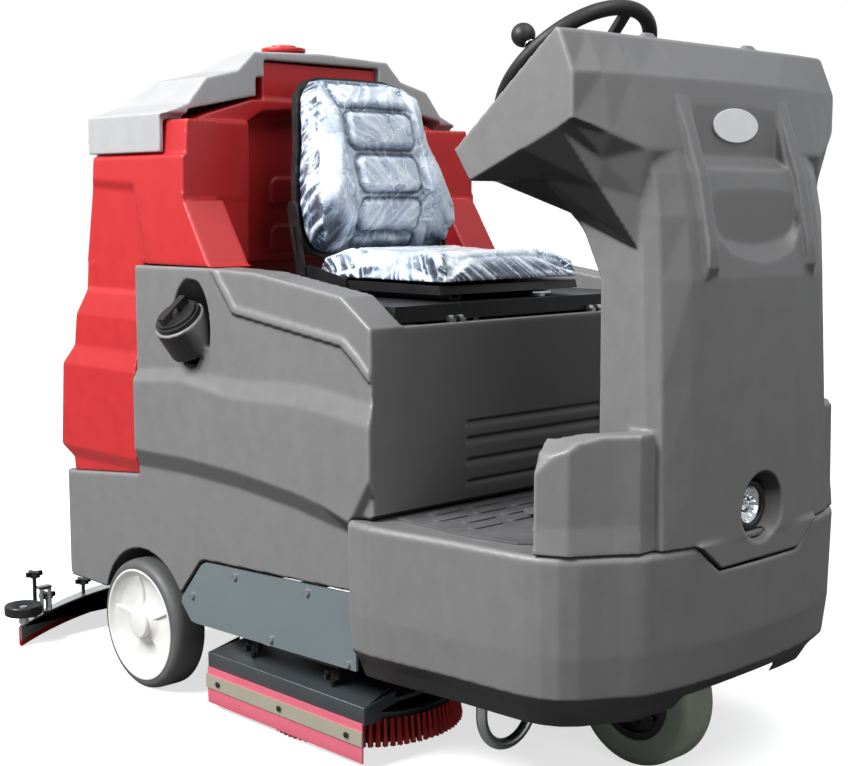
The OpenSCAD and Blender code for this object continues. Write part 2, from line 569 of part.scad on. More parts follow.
module vacuum_motor() {
  color(steel) lay() {
    cyz(70, 1180, 1262, 250, 1165);
    cyz(82, 1160, 1180, 250, 1165);
    cyz(40, 1262, 1284, 250, 1165);
    box([250, 1230, 1166], [330, 1276, 1180]);
  }
}

// ---------------------------------------------------------------- filler cap
module filler_cap() {
  color(black) lay() filler_place() {
    translate([0, 0, 74.4]) cylinder(r = 52, h = 9);
    translate([0, 0, 83]) cylinder(r = 46, h = 7);
    difference() {
      translate([0, 0, 86]) box([-40, -9, 0], [40, 9, 22]);
      translate([0, 12, 88]) rotate([90, 0, 0]) cylinder(r = 15, h = 24);
    }
  }
}

// ---------------------------------------------------------------- side panels and screws
panel_out = [[842, 334], [348, 358], [347, 204], [880, 190], [900, 192], [936, 228], [934, 240], [858, 326]];
module side_panels() {
  color([0.38, 0.41, 0.45]) lay() both() difference() {
    prx(panel_out, -side_x + 2, -side_x + 8);
    for (p = scr) cyx(3.2, -500, -400, p[0], p[1]);
  }
  color([0.38, 0.41, 0.45]) lay() both() box([-side_x + 8, 360, 330], [-331, 420, 339]);
}
scr = [[893, 251], [736, 322], [495, 334], [615, 211], [372, 213]];
module panel_screws() {
  color(steel) lay() both() for (p = scr) {
    cyx(3, -side_x + 0, -side_x + 14, p[0], p[1]);
    cyx(7.5, -side_x - 3, -side_x + 2, p[0], p[1]);
  }
}

// ---------------------------------------------------------------- guide bar
module guide_bar() {
  color(steel) lay() {
    translate([-250, 140, 134]) rotate([-90, 0, 0]) rotate_extrude(angle = 180, $fn = 64) translate([72, 0]) circle(d = 22, $fn = 24);
    cyz(11, 133.9, 339.9, -322, 140);
    cyz(11, 133.9, 343.9, -178, 140);
  }
}

// ---------------------------------------------------------------- drain hose
hose_route = [[-330, 1450.4, 262], [-330, 1466, 262], [-330, 1484, 270], [-330, 1494, 290], [-330, 1498, 330], [-331, 1500, 400], [-333, 1501, 480], [-336, 1502, 600],
  [-337, 1501, 660], [-338, 1496, 740], [-338, 1478, 840], [-339, 1455, 925], [-340, 1439, 983], [-341, 1430, 1030]];
function hose_ring(i) = let (a = hose_route[max(i - 1, 0)], b = hose_route[min(i + 1, len(hose_route) - 1)], t = (b - a) / norm(b - a),
  u0 = cross(t, [1, 0, 0]), u = u0 / norm(u0), v = cross(u, t)) [for (k = [0:11]) hose_route[i] + 16 * (cos(k * 30) * u + sin(k * 30) * v)];
module drain_hose() {
  color(black) lay() {
    skin([for (i = [len(hose_route) - 1:-1:0]) hose_ring(i)]);
    // screw cap on the upper end
    cyz(20, 1024, 1052, -341, 1429.5);
    cyz(12, 1051, 1060, -341, 1429.5);
    // clips on the recovery tank
    difference() {
      union() { cyz(24, 975, 991, -340, 1439); box([-344, 1374.8, 975], [-336, 1425, 991]); }
      cyz(19.5, 970, 996, -340, 1439);
    }
    difference() {
      union() { cyz(22, 632, 648, -337, 1501.5); box([-343, 1471, 632], [-331, 1484, 648]); }
      cyz(17.5, 630, 650, -337, 1501.5);
    }
  }
}

// ---------------------------------------------------------------- seat
module seat_hinge_base() {
  color(steel) lay() both() difference() {
    union() {
      cyx(6, 196, 208, 322, 884);
      cyx(6, 224, 236, 322, 884);
      box([196, 309.2, 876.3], [208, 328, 884]);
      box([224, 309.2, 876.3], [236, 328, 884]);
      cyx(2.95, 197, 235, 322, 884);
    }
  }
}
module seat_plate() {
  color(black) lay() {
    difference() {
      box([-371, 330, 880], [371, 790, 912]);
      box([-367, 334, 870], [367, 786, 908]);
    }
    both() difference() {
      union() { cyx(6, 208.5, 223.5, 322, 884); box([208.5, 322, 881], [223.5, 331, 889]); }
      cyx(3, 200, 230, 322, 884);
    }
  }
}
module seat_rails() {
  color(black) lay() both() difference() { box([120, 400, 912], [150, 740, 922]); box([126, 390, 915], [144, 750, 925]); }
}
module seat_pan() {
  color(black) lay() {
    difference() {
      prx([[366, 926], [372, 944], [600, 946], [770, 944], [790, 960], [796, 940], [780, 926]], -seat_w / 2 + 6, seat_w / 2 - 6);
    }
    both() box([127, 420, 916.4], [143, 720, 926]);
    // ears that carry the backrest's pivots
    both() difference() {
      prx([[650, 926], [650, 950], [770, 975], [812, 972], [820, 950], [808, 930], [790, 926]], seat_w / 2 - 6, seat_w / 2 + 1);
      cyx(6.05, 100, 300, 792, 952);
    }
  }
}
module seat_cushion() {
  color([0.50, 0.56, 0.62]) lay() intersection() {
    prx([[356, 948], [352, 966], [358, 984], [376, 992], [560, 986], [700, 992], [744, 998], [762, 984], [764, 948]], -seat_w / 2, seat_w / 2);
    prz([[-seat_w / 2 + 20, 350], [-seat_w / 2, 376], [-seat_w / 2, 626], [-seat_w / 2 + 6.5, 646], [-seat_w / 2 + 6.5, 744], [-seat_w / 2 + 24, 766], [seat_w / 2 - 24, 766], [seat_w / 2 - 6.5, 744], [seat_w / 2 - 6.5, 646], [seat_w / 2, 626], [seat_w / 2, 376], [seat_w / 2 - 20, 350]], 900, 1100);
  }
}
module slide_lever() {
  color(steel) lay() { cyx(5, 60, 118, 366, 918.5); box([60, 340, 914], [74, 370, 920]); }
}
module back_place() { translate([0, 792, 952]) rotate([-back_angle, 0, 0]) children(); }
back_half = [[0, 36], [-150, 36], [-196, 52], [-214, 92], [-216, 150], [-204, 230], [-186, 300], [-178, 360], [-168, 410], [-140, 442], [-100, 452], [0, 454]];
module backrest_shell() {
  color(black) lay() {
    back_place() difference() {
      pry(mirr([for (p = back_half) p]), -4, 12);
      pry([[-110, 90], [-110, 330], [110, 330], [110, 90]], -10, 4);
    }
    both() difference() {
      back_place() union() {
        prx([[-13, -14], [13, -14], [16, 150], [8, 166], [-8, 166], [-16, 150]], seat_w / 2 + 2, seat_w / 2 + 8);
        box([170, -2, 120], [seat_w / 2 + 2.5, 10, 156]);
        cyx(6, seat_w / 2 - 5.8, seat_w / 2 + 12, 0, 0);
      }
      back_place() prx([[-4, 40], [4, 40], [4, 110], [-4, 110]], seat_w / 2, seat_w / 2 + 10);
    }
  }
}
module backrest_cushion() {
  color([0.50, 0.56, 0.62]) lay() back_place() intersection() {
    pry(mirr([for (p = back_half) p * 0.99 + [0, 2.4]]), -90, -4.2);
    prx([[-4.2, 40], [-50, 54], [-80, 96], [-86, 140], [-70, 260], [-60, 400], [-46, 448], [-4.2, 456]], -300, 300);
  }
}

// ---------------------------------------------------------------- brush deck
module star_knob(h) {
  cylinder(r = 5, h = h);
  translate([0, 0, h - 8]) cylinder(r = 11, h = 8);
  for (a = [0:90:270]) rotate([0, 0, a]) translate([0, -4.5, h - 4]) cube([22, 9, 12]);
  translate([0, 0, h - 4]) cylinder(r = 10, h = 12);
}
module brush_deck() {
  color(dgrey) lay() difference() {
    union() {
      box([-400, brush_y - 230, 112], [400, brush_y + 230, 120]);
      // folded covers at both sides
      both() prx([[340, 128], [340, 92], [858, 92], [858, 128]], -446, -441);
      both() skin([
        [[-446, 340, 123], [-446, 858, 123], [-446, 858, 128], [-446, 340, 128]],
        [[-360, 360, 142], [-360, 838, 142], [-360, 838, 147], [-360, 360, 147]]]);
      both() box([-366, brush_y - 215, 119.5], [-360, brush_y + 215, 144]);
      // end plates of the covers
      both() for (y = [340, 855]) pry([[-446, 92], [-446, 127], [-361, 145.5], [-361, 119.5], [-400, 112], [-400, 92]], y, y + 3);
      // guide posts
      both() cyz(10, 119, 320, 110, 590);
      both() cyz(22, 119.5, 140, 110, 590);
    }
    both() cyz(15.05, 100, 130, brush_x, brush_y);
  }
}
module brush_motors() {
  color(black) lay() both() {
    difference() { cyz(58, 120.2, 210, brush_x, brush_y); cyz(15.4, 110, 158, brush_x, brush_y); }
    cyz(44, 210, 262, brush_x, brush_y);
  }
}
module deck_skirts() {
  color([0.90, 0.25, 0.36]) lay() both() box([-450, 342, 15], [-446.1, 856, 96]);
}
module skirt_strips() {
  color([0.60, 0.58, 0.50]) lay() both() {
    box([-453, 340, 50], [-450.1, 858, 80]);
    for (y = [385, 599, 813]) cyx(6, -457, -452.5, y, 65);
  }
}
module deck_knobs() {
  color(black) lay() both() for (y = [470, 735]) translate([-415, y, 136.2]) star_knob(21);
}
module brush(s) {
  lay() translate([s * brush_x, brush_y, 0]) {
    color(black) difference() {
      union() { translate([0, 0, 58]) cylinder(r = brush_d / 2 - 10, h = 18); translate([0, 0, 76]) cylinder(r = 60, h = 22); translate([0, 0, 97]) cylinder(r = 15, h = 60); }
      translate([0, 0, 50]) cylinder(r = 60, h = 18);
    }
    color(red) for (i = [0:tufts - 1]) rotate([0, 0, i * 360 / tufts]) translate([brush_d / 2 - 15, 0, 1.2]) rotate([0, -3, 0]) cylinder(r = 12, h = 57.5, $fn = 14);
  }
}

// ---------------------------------------------------------------- squeegee
function sq(x) = sq_y - squeegee_sweep * pow(abs(x) / squeegee_half, 1.95);
// The rear blade's curve meets the front blade's towards the ends
function sr(x) = sq(x) + 10 + 38 * (1 - pow(x / squeegee_half, 2));
sq_x = [for (i = [-12:12]) i / 12 * squeegee_half];
function chain(k, a) = [for (x = sq_x) [x, (k == 0 ? sq(x) : sr(x)) + a]];
// Band between two offset curves, in plan; 0 is the front curve and 1 the rear one
function band(k, a, m, b) = concat(chain(k, a), turned(chain(m, b)));
module squeegee_arm() {
  color(dgrey) lay() difference() {
    union() {
      cyz(24, 150, 189.6, 0, 1318);
      cyz(12, 189, 206, 0, 1318);
      both() box([40, 1318, 152], [52, 1500, 176]);
      box([-52, 1306, 152], [52, 1330, 176]);
      both() cyx(17, 40, 52, 1500, 164);
    }
    cyx(8.05, -100, 100, 1500, 164);
  }
}
module squeegee_bar() {
  color(steel) lay() difference() {
    union() {
      // top plate, and the clamping plates in front and behind
      prz(band(0, -4, 1, -4), 50, 55);
      prz(band(0, -4, 0, -1), 18, 50.1);
      prz(band(1, -6.9, 1, -4.1), 20, 50.1);
      // link ears up to the arm's pivot
      both() prx([[1486, 150], [1486, 178], [1514, 178], [1640, 108], [1786, 62], [1786, 54.9], [1752, 54.9], [1600, 86], [1540, 130]], 53, 61);
      cyx(8, -64, 64, 1500, 164);
      // hose spigot
      cyz(21, 54.9, 125, 0, 1771);
      both() {
        // pins for the guide rollers
        cyz(6, 54.9, 98, 500, roll_y);
        cyz(12, 54.9, 75.6, 500, roll_y);
        cyz(10, 92.5, 98, 500, roll_y);
        // clamp brackets for the height adjusters
        box([398, 1614, 54.9], [424, 1630, 128]);
        box([398, 1612, 122], [434, 1632, 128]);
      }
    }
    cyz(17, 40, 140, 0, 1771);
    both() box([401, 1600, 62], [421, 1640, 118]);
  }
}
roll_y = 1576;
module squeegee_blades() {
  color([0.78, 0.10, 0.15]) lay() {
    prz(band(0, -0.9, 0, 3), 2, 49.9);
    prz(band(1, -4, 1, 0), 3, 49.9);
  }
}
module squeegee_knobs() {
  color(black) lay() both() {
    translate([390, sq(390) + 10, 55.1]) star_knob(36);
    translate([240, sq(240) + 14, 55.1]) star_knob(34);
    translate([445, 1616, 55.1]) star_knob(108);
  }
}
module roller(s) {
  color(black) lay() translate([s * 500, roll_y, 0]) rotate_extrude()
    polygon([[6.06, 76], [16, 76], [16, 78], [roller_d / 2 - 3, 78], [roller_d / 2, 81], [roller_d / 2, 100], [roller_d / 2 - 2, 103], [roller_d / 2 - 5, 103], [16, 88], [16, 92], [6.06, 92]]);
}

// ---------------------------------------------------------------- pedals
module pedal(s, w) {
  lay() translate([s * 188, 0, 0]) color(black) {
    box([-w / 2, -4, deck_z + 14], [w / 2, 120, deck_z + 20]);
    for (i = [0:5]) box([-w / 2 + 6, 8 + i * 18, deck_z + 19.5], [w / 2 - 6, 14 + i * 18, deck_z + 23]);
    box([-8, 44, deck_z - 48], [8, 62, deck_z + 15]);
    cyx(7, -30, 30, 53, deck_z - 44);
  }
}
module accelerator_pedal() { pedal(-1, 84); }
module brake_pedal() { pedal(1, 96); }

chassis_frame();
front_body();
floor_mat();
column_fairing();
dash_panel();
dash_display();
badge_plate();
headlight_bezel();
headlight_lens();
solution_tank();
recovery_tank();
side_panels();
panel_screws();
battery_pack();
vacuum_motor();
rear_axle();
seat_hinge_base();
drain_hose();
steering_column();
guide_bar();
tank_lid();
lid_cap();
filler_cap();
seat_plate();
seat_rails();
seat_pan();
seat_cushion();
slide_lever();
backrest_shell();
backrest_cushion();
steering_wheel();
spinner_knob();
drive_fork();
drive_motor();
front_tyre();
front_hub();
rear_tyre(-1);  // rear_tyre_left
rear_rim(-1);  // rear_rim_left
rear_tyre(1);  // rear_tyre_right
rear_rim(1);  // rear_rim_right
brush_deck();
deck_skirts();
skirt_strips();
deck_knobs();
brush_motors();
brush(-1);  // brush_left
brush(1);  // brush_right
squeegee_arm();
squeegee_bar();
squeegee_blades();
squeegee_knobs();
roller(-1);  // roller_left
roller(1);  // roller_right
accelerator_pedal();
brake_pedal();
key_switch();
emergency_stop();
direction_switch();
steering_chain();
suction_port();
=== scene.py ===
import json
import math
import bpy
import bmesh
import numpy as np
from mathutils import Matrix, Vector


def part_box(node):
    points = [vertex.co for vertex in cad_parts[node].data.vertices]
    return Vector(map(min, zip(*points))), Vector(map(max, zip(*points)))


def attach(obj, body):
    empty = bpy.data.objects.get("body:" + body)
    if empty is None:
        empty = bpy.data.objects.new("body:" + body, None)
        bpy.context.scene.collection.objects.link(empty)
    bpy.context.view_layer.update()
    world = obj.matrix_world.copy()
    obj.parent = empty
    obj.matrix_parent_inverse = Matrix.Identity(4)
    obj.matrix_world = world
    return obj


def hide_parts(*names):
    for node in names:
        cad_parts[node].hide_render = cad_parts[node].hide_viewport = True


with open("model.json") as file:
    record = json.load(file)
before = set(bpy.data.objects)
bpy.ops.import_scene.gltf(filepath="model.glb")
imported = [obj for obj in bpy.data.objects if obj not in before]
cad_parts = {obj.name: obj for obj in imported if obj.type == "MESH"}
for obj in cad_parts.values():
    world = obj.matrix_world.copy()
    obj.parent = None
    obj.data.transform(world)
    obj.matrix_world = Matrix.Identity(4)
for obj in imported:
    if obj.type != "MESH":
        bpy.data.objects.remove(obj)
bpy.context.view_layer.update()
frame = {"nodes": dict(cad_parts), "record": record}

nodes = frame["nodes"]
body_of_node = {n: b for b, ns in frame["record"]["behaviour"]["bodies"].items() for n in ns}
scene = bpy.context.scene
YC = 0.766


def L(x, y, z):
    """A point of the CAD layout in mm, as a point of the row frame in metres."""
    return Vector((x / 1000, y / 1000 - YC, z / 1000))


# ------------------------------------------------------------------ numpy noise
def _hash(i, j, k, seed):
    h = (i * 374761393 + j * 668265263 + k * 2147483647 + seed * 1274126177) & 0xFFFFFFFF
    h = ((h ^ (h >> 13)) * 1274126177) & 0xFFFFFFFF
    return ((h ^ (h >> 16)) & 0xFFFFFF) / float(0xFFFFFF)


def vnoise(p, seed=0):
    p = np.asarray(p, float)
    i = np.floor(p).astype(np.int64)
    f = p - i
    u = f * f * f * (f * (f * 6 - 15) + 10)
    out = 0
    for a in (0, 1):
        for b in (0, 1):
            for c in (0, 1):
                w = (u[:, 0] if a else 1 - u[:, 0]) * (u[:, 1] if b else 1 - u[:, 1]) * (u[:, 2] if c else 1 - u[:, 2])
                out = out + w * _hash(i[:, 0] + a, i[:, 1] + b, i[:, 2] + c, seed)
    return out


def ridged(p, seed=0, sharp=2.0):
    n = np.abs(2 * vnoise(p, seed) - 1)
    return (1 - n) ** sharp


def smooth01(x):
    x = np.clip(x, 0, 1)
    return x * x * (3 - 2 * x)


# ------------------------------------------------------------------ node material helpers
def new_mat(name):
    m = bpy.data.materials.new(name)
    m.use_nodes = True
    nt = m.node_tree
    b = nt.nodes["Principled BSDF"]
    return m, nt, b


def lk(nt, a, b):
    nt.links.new(a, b)


def noise_node(nt, scale, detail=4, rough=0.55, coord=None, dist=0.0):
    n = nt.nodes.new("ShaderNodeTexNoise")
    n.inputs["Scale"].default_value = scale
    n.inputs["Detail"].default_value = detail
    n.inputs["Roughness"].default_value = rough
    n.inputs["Distortion"].default_value = dist
    if coord is not None:
        lk(nt, coord, n.inputs["Vector"])
    return n


def ramp(nt, fac, stops):
    r = nt.nodes.new("ShaderNodeValToRGB")
    e = r.color_ramp.elements
    while len(e) < len(stops):
        e.new(0.5)
    for el, (pos, col) in zip(e, stops):
        el.position = pos
        el.color = (*col, 1) if len(col) == 3 else col
    lk(nt, fac, r.inputs["Fac"])
    return r


def mix_col(nt, fac, a, b, mode="MIX"):
    m = nt.nodes.new("ShaderNodeMix")
    m.data_type = "RGBA"
    m.blend_type = mode
    m.clamp_factor = True
    if isinstance(fac, (int, float)):
        m.inputs[0].default_value = fac
    else:
        lk(nt, fac, m.inputs[0])
    for s, v in ((6, a), (7, b)):
        if isinstance(v, (tuple, list)):
            m.inputs[s].default_value = (*v, 1)
        else:
            lk(nt, v, m.inputs[s])
    return m.outputs[2]


def math_node(nt, op, a, b=None, clamp=False):
    m = nt.nodes.new("ShaderNodeMath")
    m.operation = op
    m.use_clamp = clamp
    for i, v in enumerate((a, b)):
        if v is None:
            continue
        if isinstance(v, (int, float)):
            m.inputs[i].default_value = v
        else:
            lk(nt, v, m.inputs[i])
    return m.outputs[0]


def obj_coord(nt, scale=(1, 1, 1), rot=(0, 0, 0)):
    tc = nt.nodes.new("ShaderNodeTexCoord")
    mp = nt.nodes.new("ShaderNodeMapping")
    mp.inputs["Scale"].default_value = scale
    mp.inputs["Rotation"].default_value = rot
    lk(nt, tc.outputs["Object"], mp.inputs["Vector"])
    return mp.outputs["Vector"]


def bump(nt, height, strength, distance, normal=None):
    b = nt.nodes.new("ShaderNodeBump")
    b.inputs["Strength"].default_value = strength
    b.inputs["Distance"].default_value = distance
    lk(nt, height, b.inputs["Height"])
    if normal is not None:
        lk(nt, normal, b.inputs["Normal"])
    return b.outputs["Normal"]


def plastic(name, col, rough=(0.36, 0.5), grain=1.0, vary=0.10, spec=0.5, edge=0.0, coat=0.0, grain_scale=520, under=0.0):
    """Moulded plastic: cloudy colour, fine pebbled skin, slow waves; edge paints convex edges paler as a painted
    highlight, under darkens faces that point down as painted shade.
    """
    m, nt, b = new_mat(name)
    co = obj_coord(nt)
    big = noise_node(nt, 3.2, 3, 0.5, co)
    mid = noise_node(nt, 26, 4, 0.6, co)
    fine = noise_node(nt, grain_scale, 3, 0.6, co)
    slow = noise_node(nt, 9, 2, 0.4, co)
    dark = tuple(c * (1 - vary) for c in col)
    light = tuple(min(1, c * (1 + vary)) for c in col)
    base = mix_col(nt, big.outputs["Fac"], dark, light)
    spk = ramp(nt, mid.outputs["Fac"], [(0.30, (0.93, 0.93, 0.93)), (0.62, (1.04, 1.04, 1.04))])
    base = mix_col(nt, 0.55, base, spk.outputs["Color"], "MULTIPLY")
    # edge: convex edges (high pointiness) mixed paler, a painted highlight along the edges
    if edge > 0:
        geo = nt.nodes.new("ShaderNodeNewGeometry")
        edge_highlight_ramp = ramp(nt, geo.outputs["Pointiness"], [(0.50, (0, 0, 0)), (0.56, (1, 1, 1))])
        edge_highlight_amount = math_node(nt, "MULTIPLY", edge_highlight_ramp.outputs["Color"], edge)
        base = mix_col(nt, edge_highlight_amount, base, tuple(min(1, c * 1.5 + 0.03) for c in col))
    # under: faces that point down are mixed towards a tenth of the colour, painted shade under the body
    if under > 0:
        g2 = nt.nodes.new("ShaderNodeNewGeometry")
        sp = nt.nodes.new("ShaderNodeSeparateXYZ")
        lk(nt, g2.outputs["Normal"], sp.inputs[0])
        painted_underside_shade = math_node(nt, "MULTIPLY", math_node(nt, "ADD", sp.outputs["Z"], 0.12), -3.4, True)
        base = mix_col(nt, math_node(nt, "MULTIPLY", painted_underside_shade, under), base, tuple(c * 0.10 for c in col))
    lk(nt, base, b.inputs["Base Color"])
    rr = ramp(nt, mid.outputs["Fac"], [(0.3, (rough[0],) * 3), (0.7, (rough[1],) * 3)])
    lk(nt, rr.outputs["Color"], b.inputs["Roughness"])
    n1 = bump(nt, fine.outputs["Fac"], 0.22 * grain, 0.0006)
    n2 = bump(nt, slow.outputs["Fac"], 0.12 * grain, 0.004, n1)
    lk(nt, n2, b.inputs["Normal"])
    b.inputs["Specular IOR Level"].default_value = spec
    if coat > 0:
        b.inputs["Coat Weight"].default_value = coat
        b.inputs["Coat Roughness"].default_value = 0.12
    return m


def metal(name, col, rough=(0.22, 0.42), metallic=1.0, brush=(1, 1, 1), grime=0.25):
    """Bare or zinc-plated metal with fine drawn lines, smudges and a little grime."""
    m, nt, b = new_mat(name)
    co = obj_coord(nt, brush)
    lines = noise_node(nt, 60, 6, 0.7, co)
    plain = obj_coord(nt)
    smudge = noise_node(nt, 14, 4, 0.6, plain)
    base = mix_col(nt, math_node(nt, "MULTIPLY", smudge.outputs["Fac"], grime), col, tuple(c * 0.55 for c in col))
    lk(nt, base, b.inputs["Base Color"])
    b.inputs["Metallic"].default_value = metallic
    f = mix_col(nt, 0.5, lines.outputs["Color"], smudge.outputs["Color"])
    rr = ramp(nt, f, [(0.35, (rough[0],) * 3), (0.65, (rough[1],) * 3)])
    lk(nt, rr.outputs["Color"], b.inputs["Roughness"])
    lk(nt, bump(nt, lines.outputs["Fac"], 0.12, 0.0004), b.inputs["Normal"])
    return m


def paint(name, col, rough=(0.32, 0.46), vary=0.08, peel=1.0, chips=0.0):
    """Powder coat: orange peel, faint streaks, a few rubbed places."""
    m, nt, b = new_mat(name)
    co = obj_coord(nt)
    peel_n = noise_node(nt, 380, 2, 0.5, co)
    cloud = noise_node(nt, 8, 4, 0.6, co)
    streak = noise_node(nt, 30, 4, 0.6, obj_coord(nt, (0.25, 0.25, 1.0)))
    base = mix_col(nt, cloud.outputs["Fac"], tuple(c * (1 - vary) for c in col), tuple(c * (1 + vary) for c in col))
    base = mix_col(nt, math_node(nt, "MULTIPLY", streak.outputs["Fac"], 0.12), base, tuple(c * 0.6 for c in col))
    if chips > 0:
        ch = noise_node(nt, 95, 3, 0.6, co)
        cr = ramp(nt, ch.outputs["Fac"], [(0.70, (0, 0, 0)), (0.72, (1, 1, 1))])
        base = mix_col(nt, math_node(nt, "MULTIPLY", cr.outputs["Color"], chips), base, (0.35, 0.35, 0.36))
    lk(nt, base, b.inputs["Base Color"])
    rr = ramp(nt, cloud.outputs["Fac"], [(0.3, (rough[0],) * 3), (0.7, (rough[1],) * 3)])
    lk(nt, rr.outputs["Color"], b.inputs["Roughness"])
    lk(nt, bump(nt, peel_n.outputs["Fac"], 0.10 * peel, 0.0006), b.inputs["Normal"])
    return m


def rubber(name, col, rough=(0.55, 0.75), dust=0.25, dust_col=(0.35, 0.34, 0.32)):
    m, nt, b = new_mat(name)
    co = obj_coord(nt)
    cloud = noise_node(nt, 16, 5, 0.6, co)
    fine = noise_node(nt, 420, 3, 0.6, co)
    geo = nt.nodes.new("ShaderNodeNewGeometry")
    dr = ramp(nt, cloud.outputs["Fac"], [(0.42, (0, 0, 0)), (0.72, (1, 1, 1))])
    base = mix_col(nt, math_node(nt, "MULTIPLY", dr.outputs["Color"], dust), col, dust_col)
    lk(nt, base, b.inputs["Base Color"])
    rr = ramp(nt, cloud.outputs["Fac"], [(0.3, (rough[0],) * 3), (0.7, (rough[1],) * 3)])
    lk(nt, rr.outputs["Color"], b.inputs["Roughness"])
    lk(nt, bump(nt, fine.outputs["Fac"], 0.18, 0.0006), b.inputs["Normal"])
    return m


M = {}
# edge= paints convex edges paler (painted highlight); under= darkens faces that point down (painted shade)
M["body"] = plastic("roto_grey", (0.168, 0.167, 0.169), (0.36, 0.5), 1.0, 0.05, 0.5, edge=0.5, under=1.0)
M["red"] = plastic("roto_red", (0.47, 0.018, 0.020), (0.34, 0.46), 0.9, 0.07, 0.5, edge=0.15)
M["lid"] = plastic("roto_pale", (0.385, 0.385, 0.39), (0.38, 0.5), 0.9, 0.05, 0.5, edge=0.25)
M["black"] = plastic("black_moulded", (0.008, 0.008, 0.009), (0.30, 0.45), 0.7, 0.15, 0.5)
M["black_soft"] = plastic("black_grip", (0.010, 0.010, 0.011), (0.42, 0.6), 1.2, 0.15, 0.45, grain_scale=900)
M["mat"] = rubber("deck_rubber", (0.095, 0.095, 0.098), (0.5, 0.68), 0.35, (0.19, 0.19, 0.19))
M["tyre"] = rubber("tyre_grey", (0.085, 0.088, 0.086), (0.5, 0.68), 0.35, (0.17, 0.17, 0.165))
M["tyre_front"] = rubber("tyre_greenish", (0.26, 0.30, 0.24), (0.5, 0.68), 0.35, (0.42, 0.46, 0.38))
M["rim"] = plastic("rim_nylon", (0.70, 0.695, 0.67), (0.28, 0.42), 0.5, 0.04, 0.5)
M["panel"] = paint("panel_blue_grey", (0.140, 0.170, 0.184), (0.34, 0.46))
M["frame"] = paint("frame_black", (0.009, 0.009, 0.0095), (0.35, 0.5), chips=0.3)
M["deck"] = paint("deck_slate", (0.043, 0.051, 0.055), (0.28, 0.42), chips=0.15)
M["steel"] = metal("zinc_steel", (0.62, 0.63, 0.64), (0.2, 0.4))
M["plate"] = metal("squeegee_alu", (0.78, 0.79, 0.80), (0.25, 0.42), brush=(0.2, 1, 1), grime=0.12)
M["clamp"] = paint("clamp_slate", (0.17, 0.19, 0.18), (0.35, 0.5))
M["brass"] = metal("strip_brass", (0.60, 0.555, 0.44), (0.30, 0.46), 0.55, (0.3, 0.3, 1), 0.35)
M["hose"] = rubber("hose_black", (0.008, 0.008, 0.009), (0.35, 0.5), 0.1)


def skirt_material():
    """Pink urethane blade, a little see-through where thin, scuffed along its foot."""
    m, nt, b = new_mat("blade_urethane")
    co = obj_coord(nt)
    cloud = noise_node(nt, 18, 4, 0.6, co)
    streak = noise_node(nt, 40, 4, 0.6, obj_coord(nt, (1, 0.12, 1)))
    base = mix_col(nt, cloud.outputs["Fac"], (0.58, 0.105, 0.160), (0.70, 0.165, 0.225))
    sep = nt.nodes.new("ShaderNodeSeparateXYZ")
    lk(nt, obj_coord(nt), sep.inputs[0])
    foot = ramp(nt, sep.outputs["Z"], [(0.014, (1, 1, 1)), (0.034, (0, 0, 0))])
    base = mix_col(nt, math_node(nt, "MULTIPLY", foot.outputs["Color"], 0.35), base, (0.40, 0.06, 0.08))
    lk(nt, base, b.inputs["Base Color"])
    rr = ramp(nt, streak.outputs["Fac"], [(0.3, (0.30,) * 3), (0.7, (0.46,) * 3)])
    lk(nt, rr.outputs["Color"], b.inputs["Roughness"])
    lk(nt, bump(nt, streak.outputs["Fac"], 0.15, 0.0008), b.inputs["Normal"])
    b.inputs["Subsurface Weight"].default_value = 0.25
    b.inputs["Subsurface Radius"].default_value = (0.012, 0.004, 0.004)
    return m


M["skirt"] = skirt_material()
M["blade_red"] = rubber("squeegee_rubber", (0.50, 0.010, 0.016), (0.35, 0.5), 0.12, (0.3, 0.05, 0.05))


M["badge"] = plastic("badge_white", (0.88, 0.88, 0.89), (0.16, 0.26), 0.3, 0.02, 0.5, coat=0.5)
M["chrome"] = metal("reflector_chrome", (0.93, 0.94, 0.95), (0.04, 0.12), 1.0, (1, 1, 1), 0.05)
M["disp"] = plastic("display_glass", (0.008, 0.014, 0.016), (0.08, 0.16), 0.1, 0.1, 0.6, coat=0.6)


def lens_material():
    m, nt, b = new_mat("lens_clear")
    co = obj_coord(nt)
    n = noise_node(nt, 60, 3, 0.5, co)
    base = mix_col(nt, n.outputs["Fac"], (0.93, 0.95, 0.97), (0.99, 0.99, 1.0))
    lk(nt, base, b.inputs["Base Color"])
    rr = ramp(nt, n.outputs["Fac"], [(0.3, (0.02,) * 3), (0.7, (0.06,) * 3)])
    lk(nt, rr.outputs["Color"], b.inputs["Roughness"])
    b.inputs["Transmission Weight"].default_value = 1.0
    b.inputs["IOR"].default_value = 1.35
    return m


M["lens"] = lens_material()


def bristle_material():
    m, nt, b = new_mat("bristle_red")
    thin = noise_node(nt, 900, 3, 0.6, obj_coord(nt, (1, 1, 0.06)))
    base = mix_col(nt, thin.outputs["Fac"], (0.36, 0.004, 0.005), (0.95, 0.025, 0.020))
    sep = nt.nodes.new("ShaderNodeSeparateXYZ")
    lk(nt, obj_coord(nt), sep.inputs[0])
    tip = ramp(nt, sep.outputs["Z"], [(0.004, (1, 1, 1)), (0.03, (0, 0, 0))])
    base = mix_col(nt, math_node(nt, "MULTIPLY", tip.outputs["Color"], 0.35), base, (1.0, 0.16, 0.09))
    lk(nt, base, b.inputs["Base Color"])
    rr = ramp(nt, thin.outputs["Fac"], [(0.3, (0.3,) * 3), (0.7, (0.6,) * 3)])
    lk(nt, rr.outputs["Color"], b.inputs["Roughness"])
    lk(nt, bump(nt, thin.outputs["Fac"], 0.9, 0.0015), b.inputs["Normal"])
    return m


M["bristle"] = bristle_material()
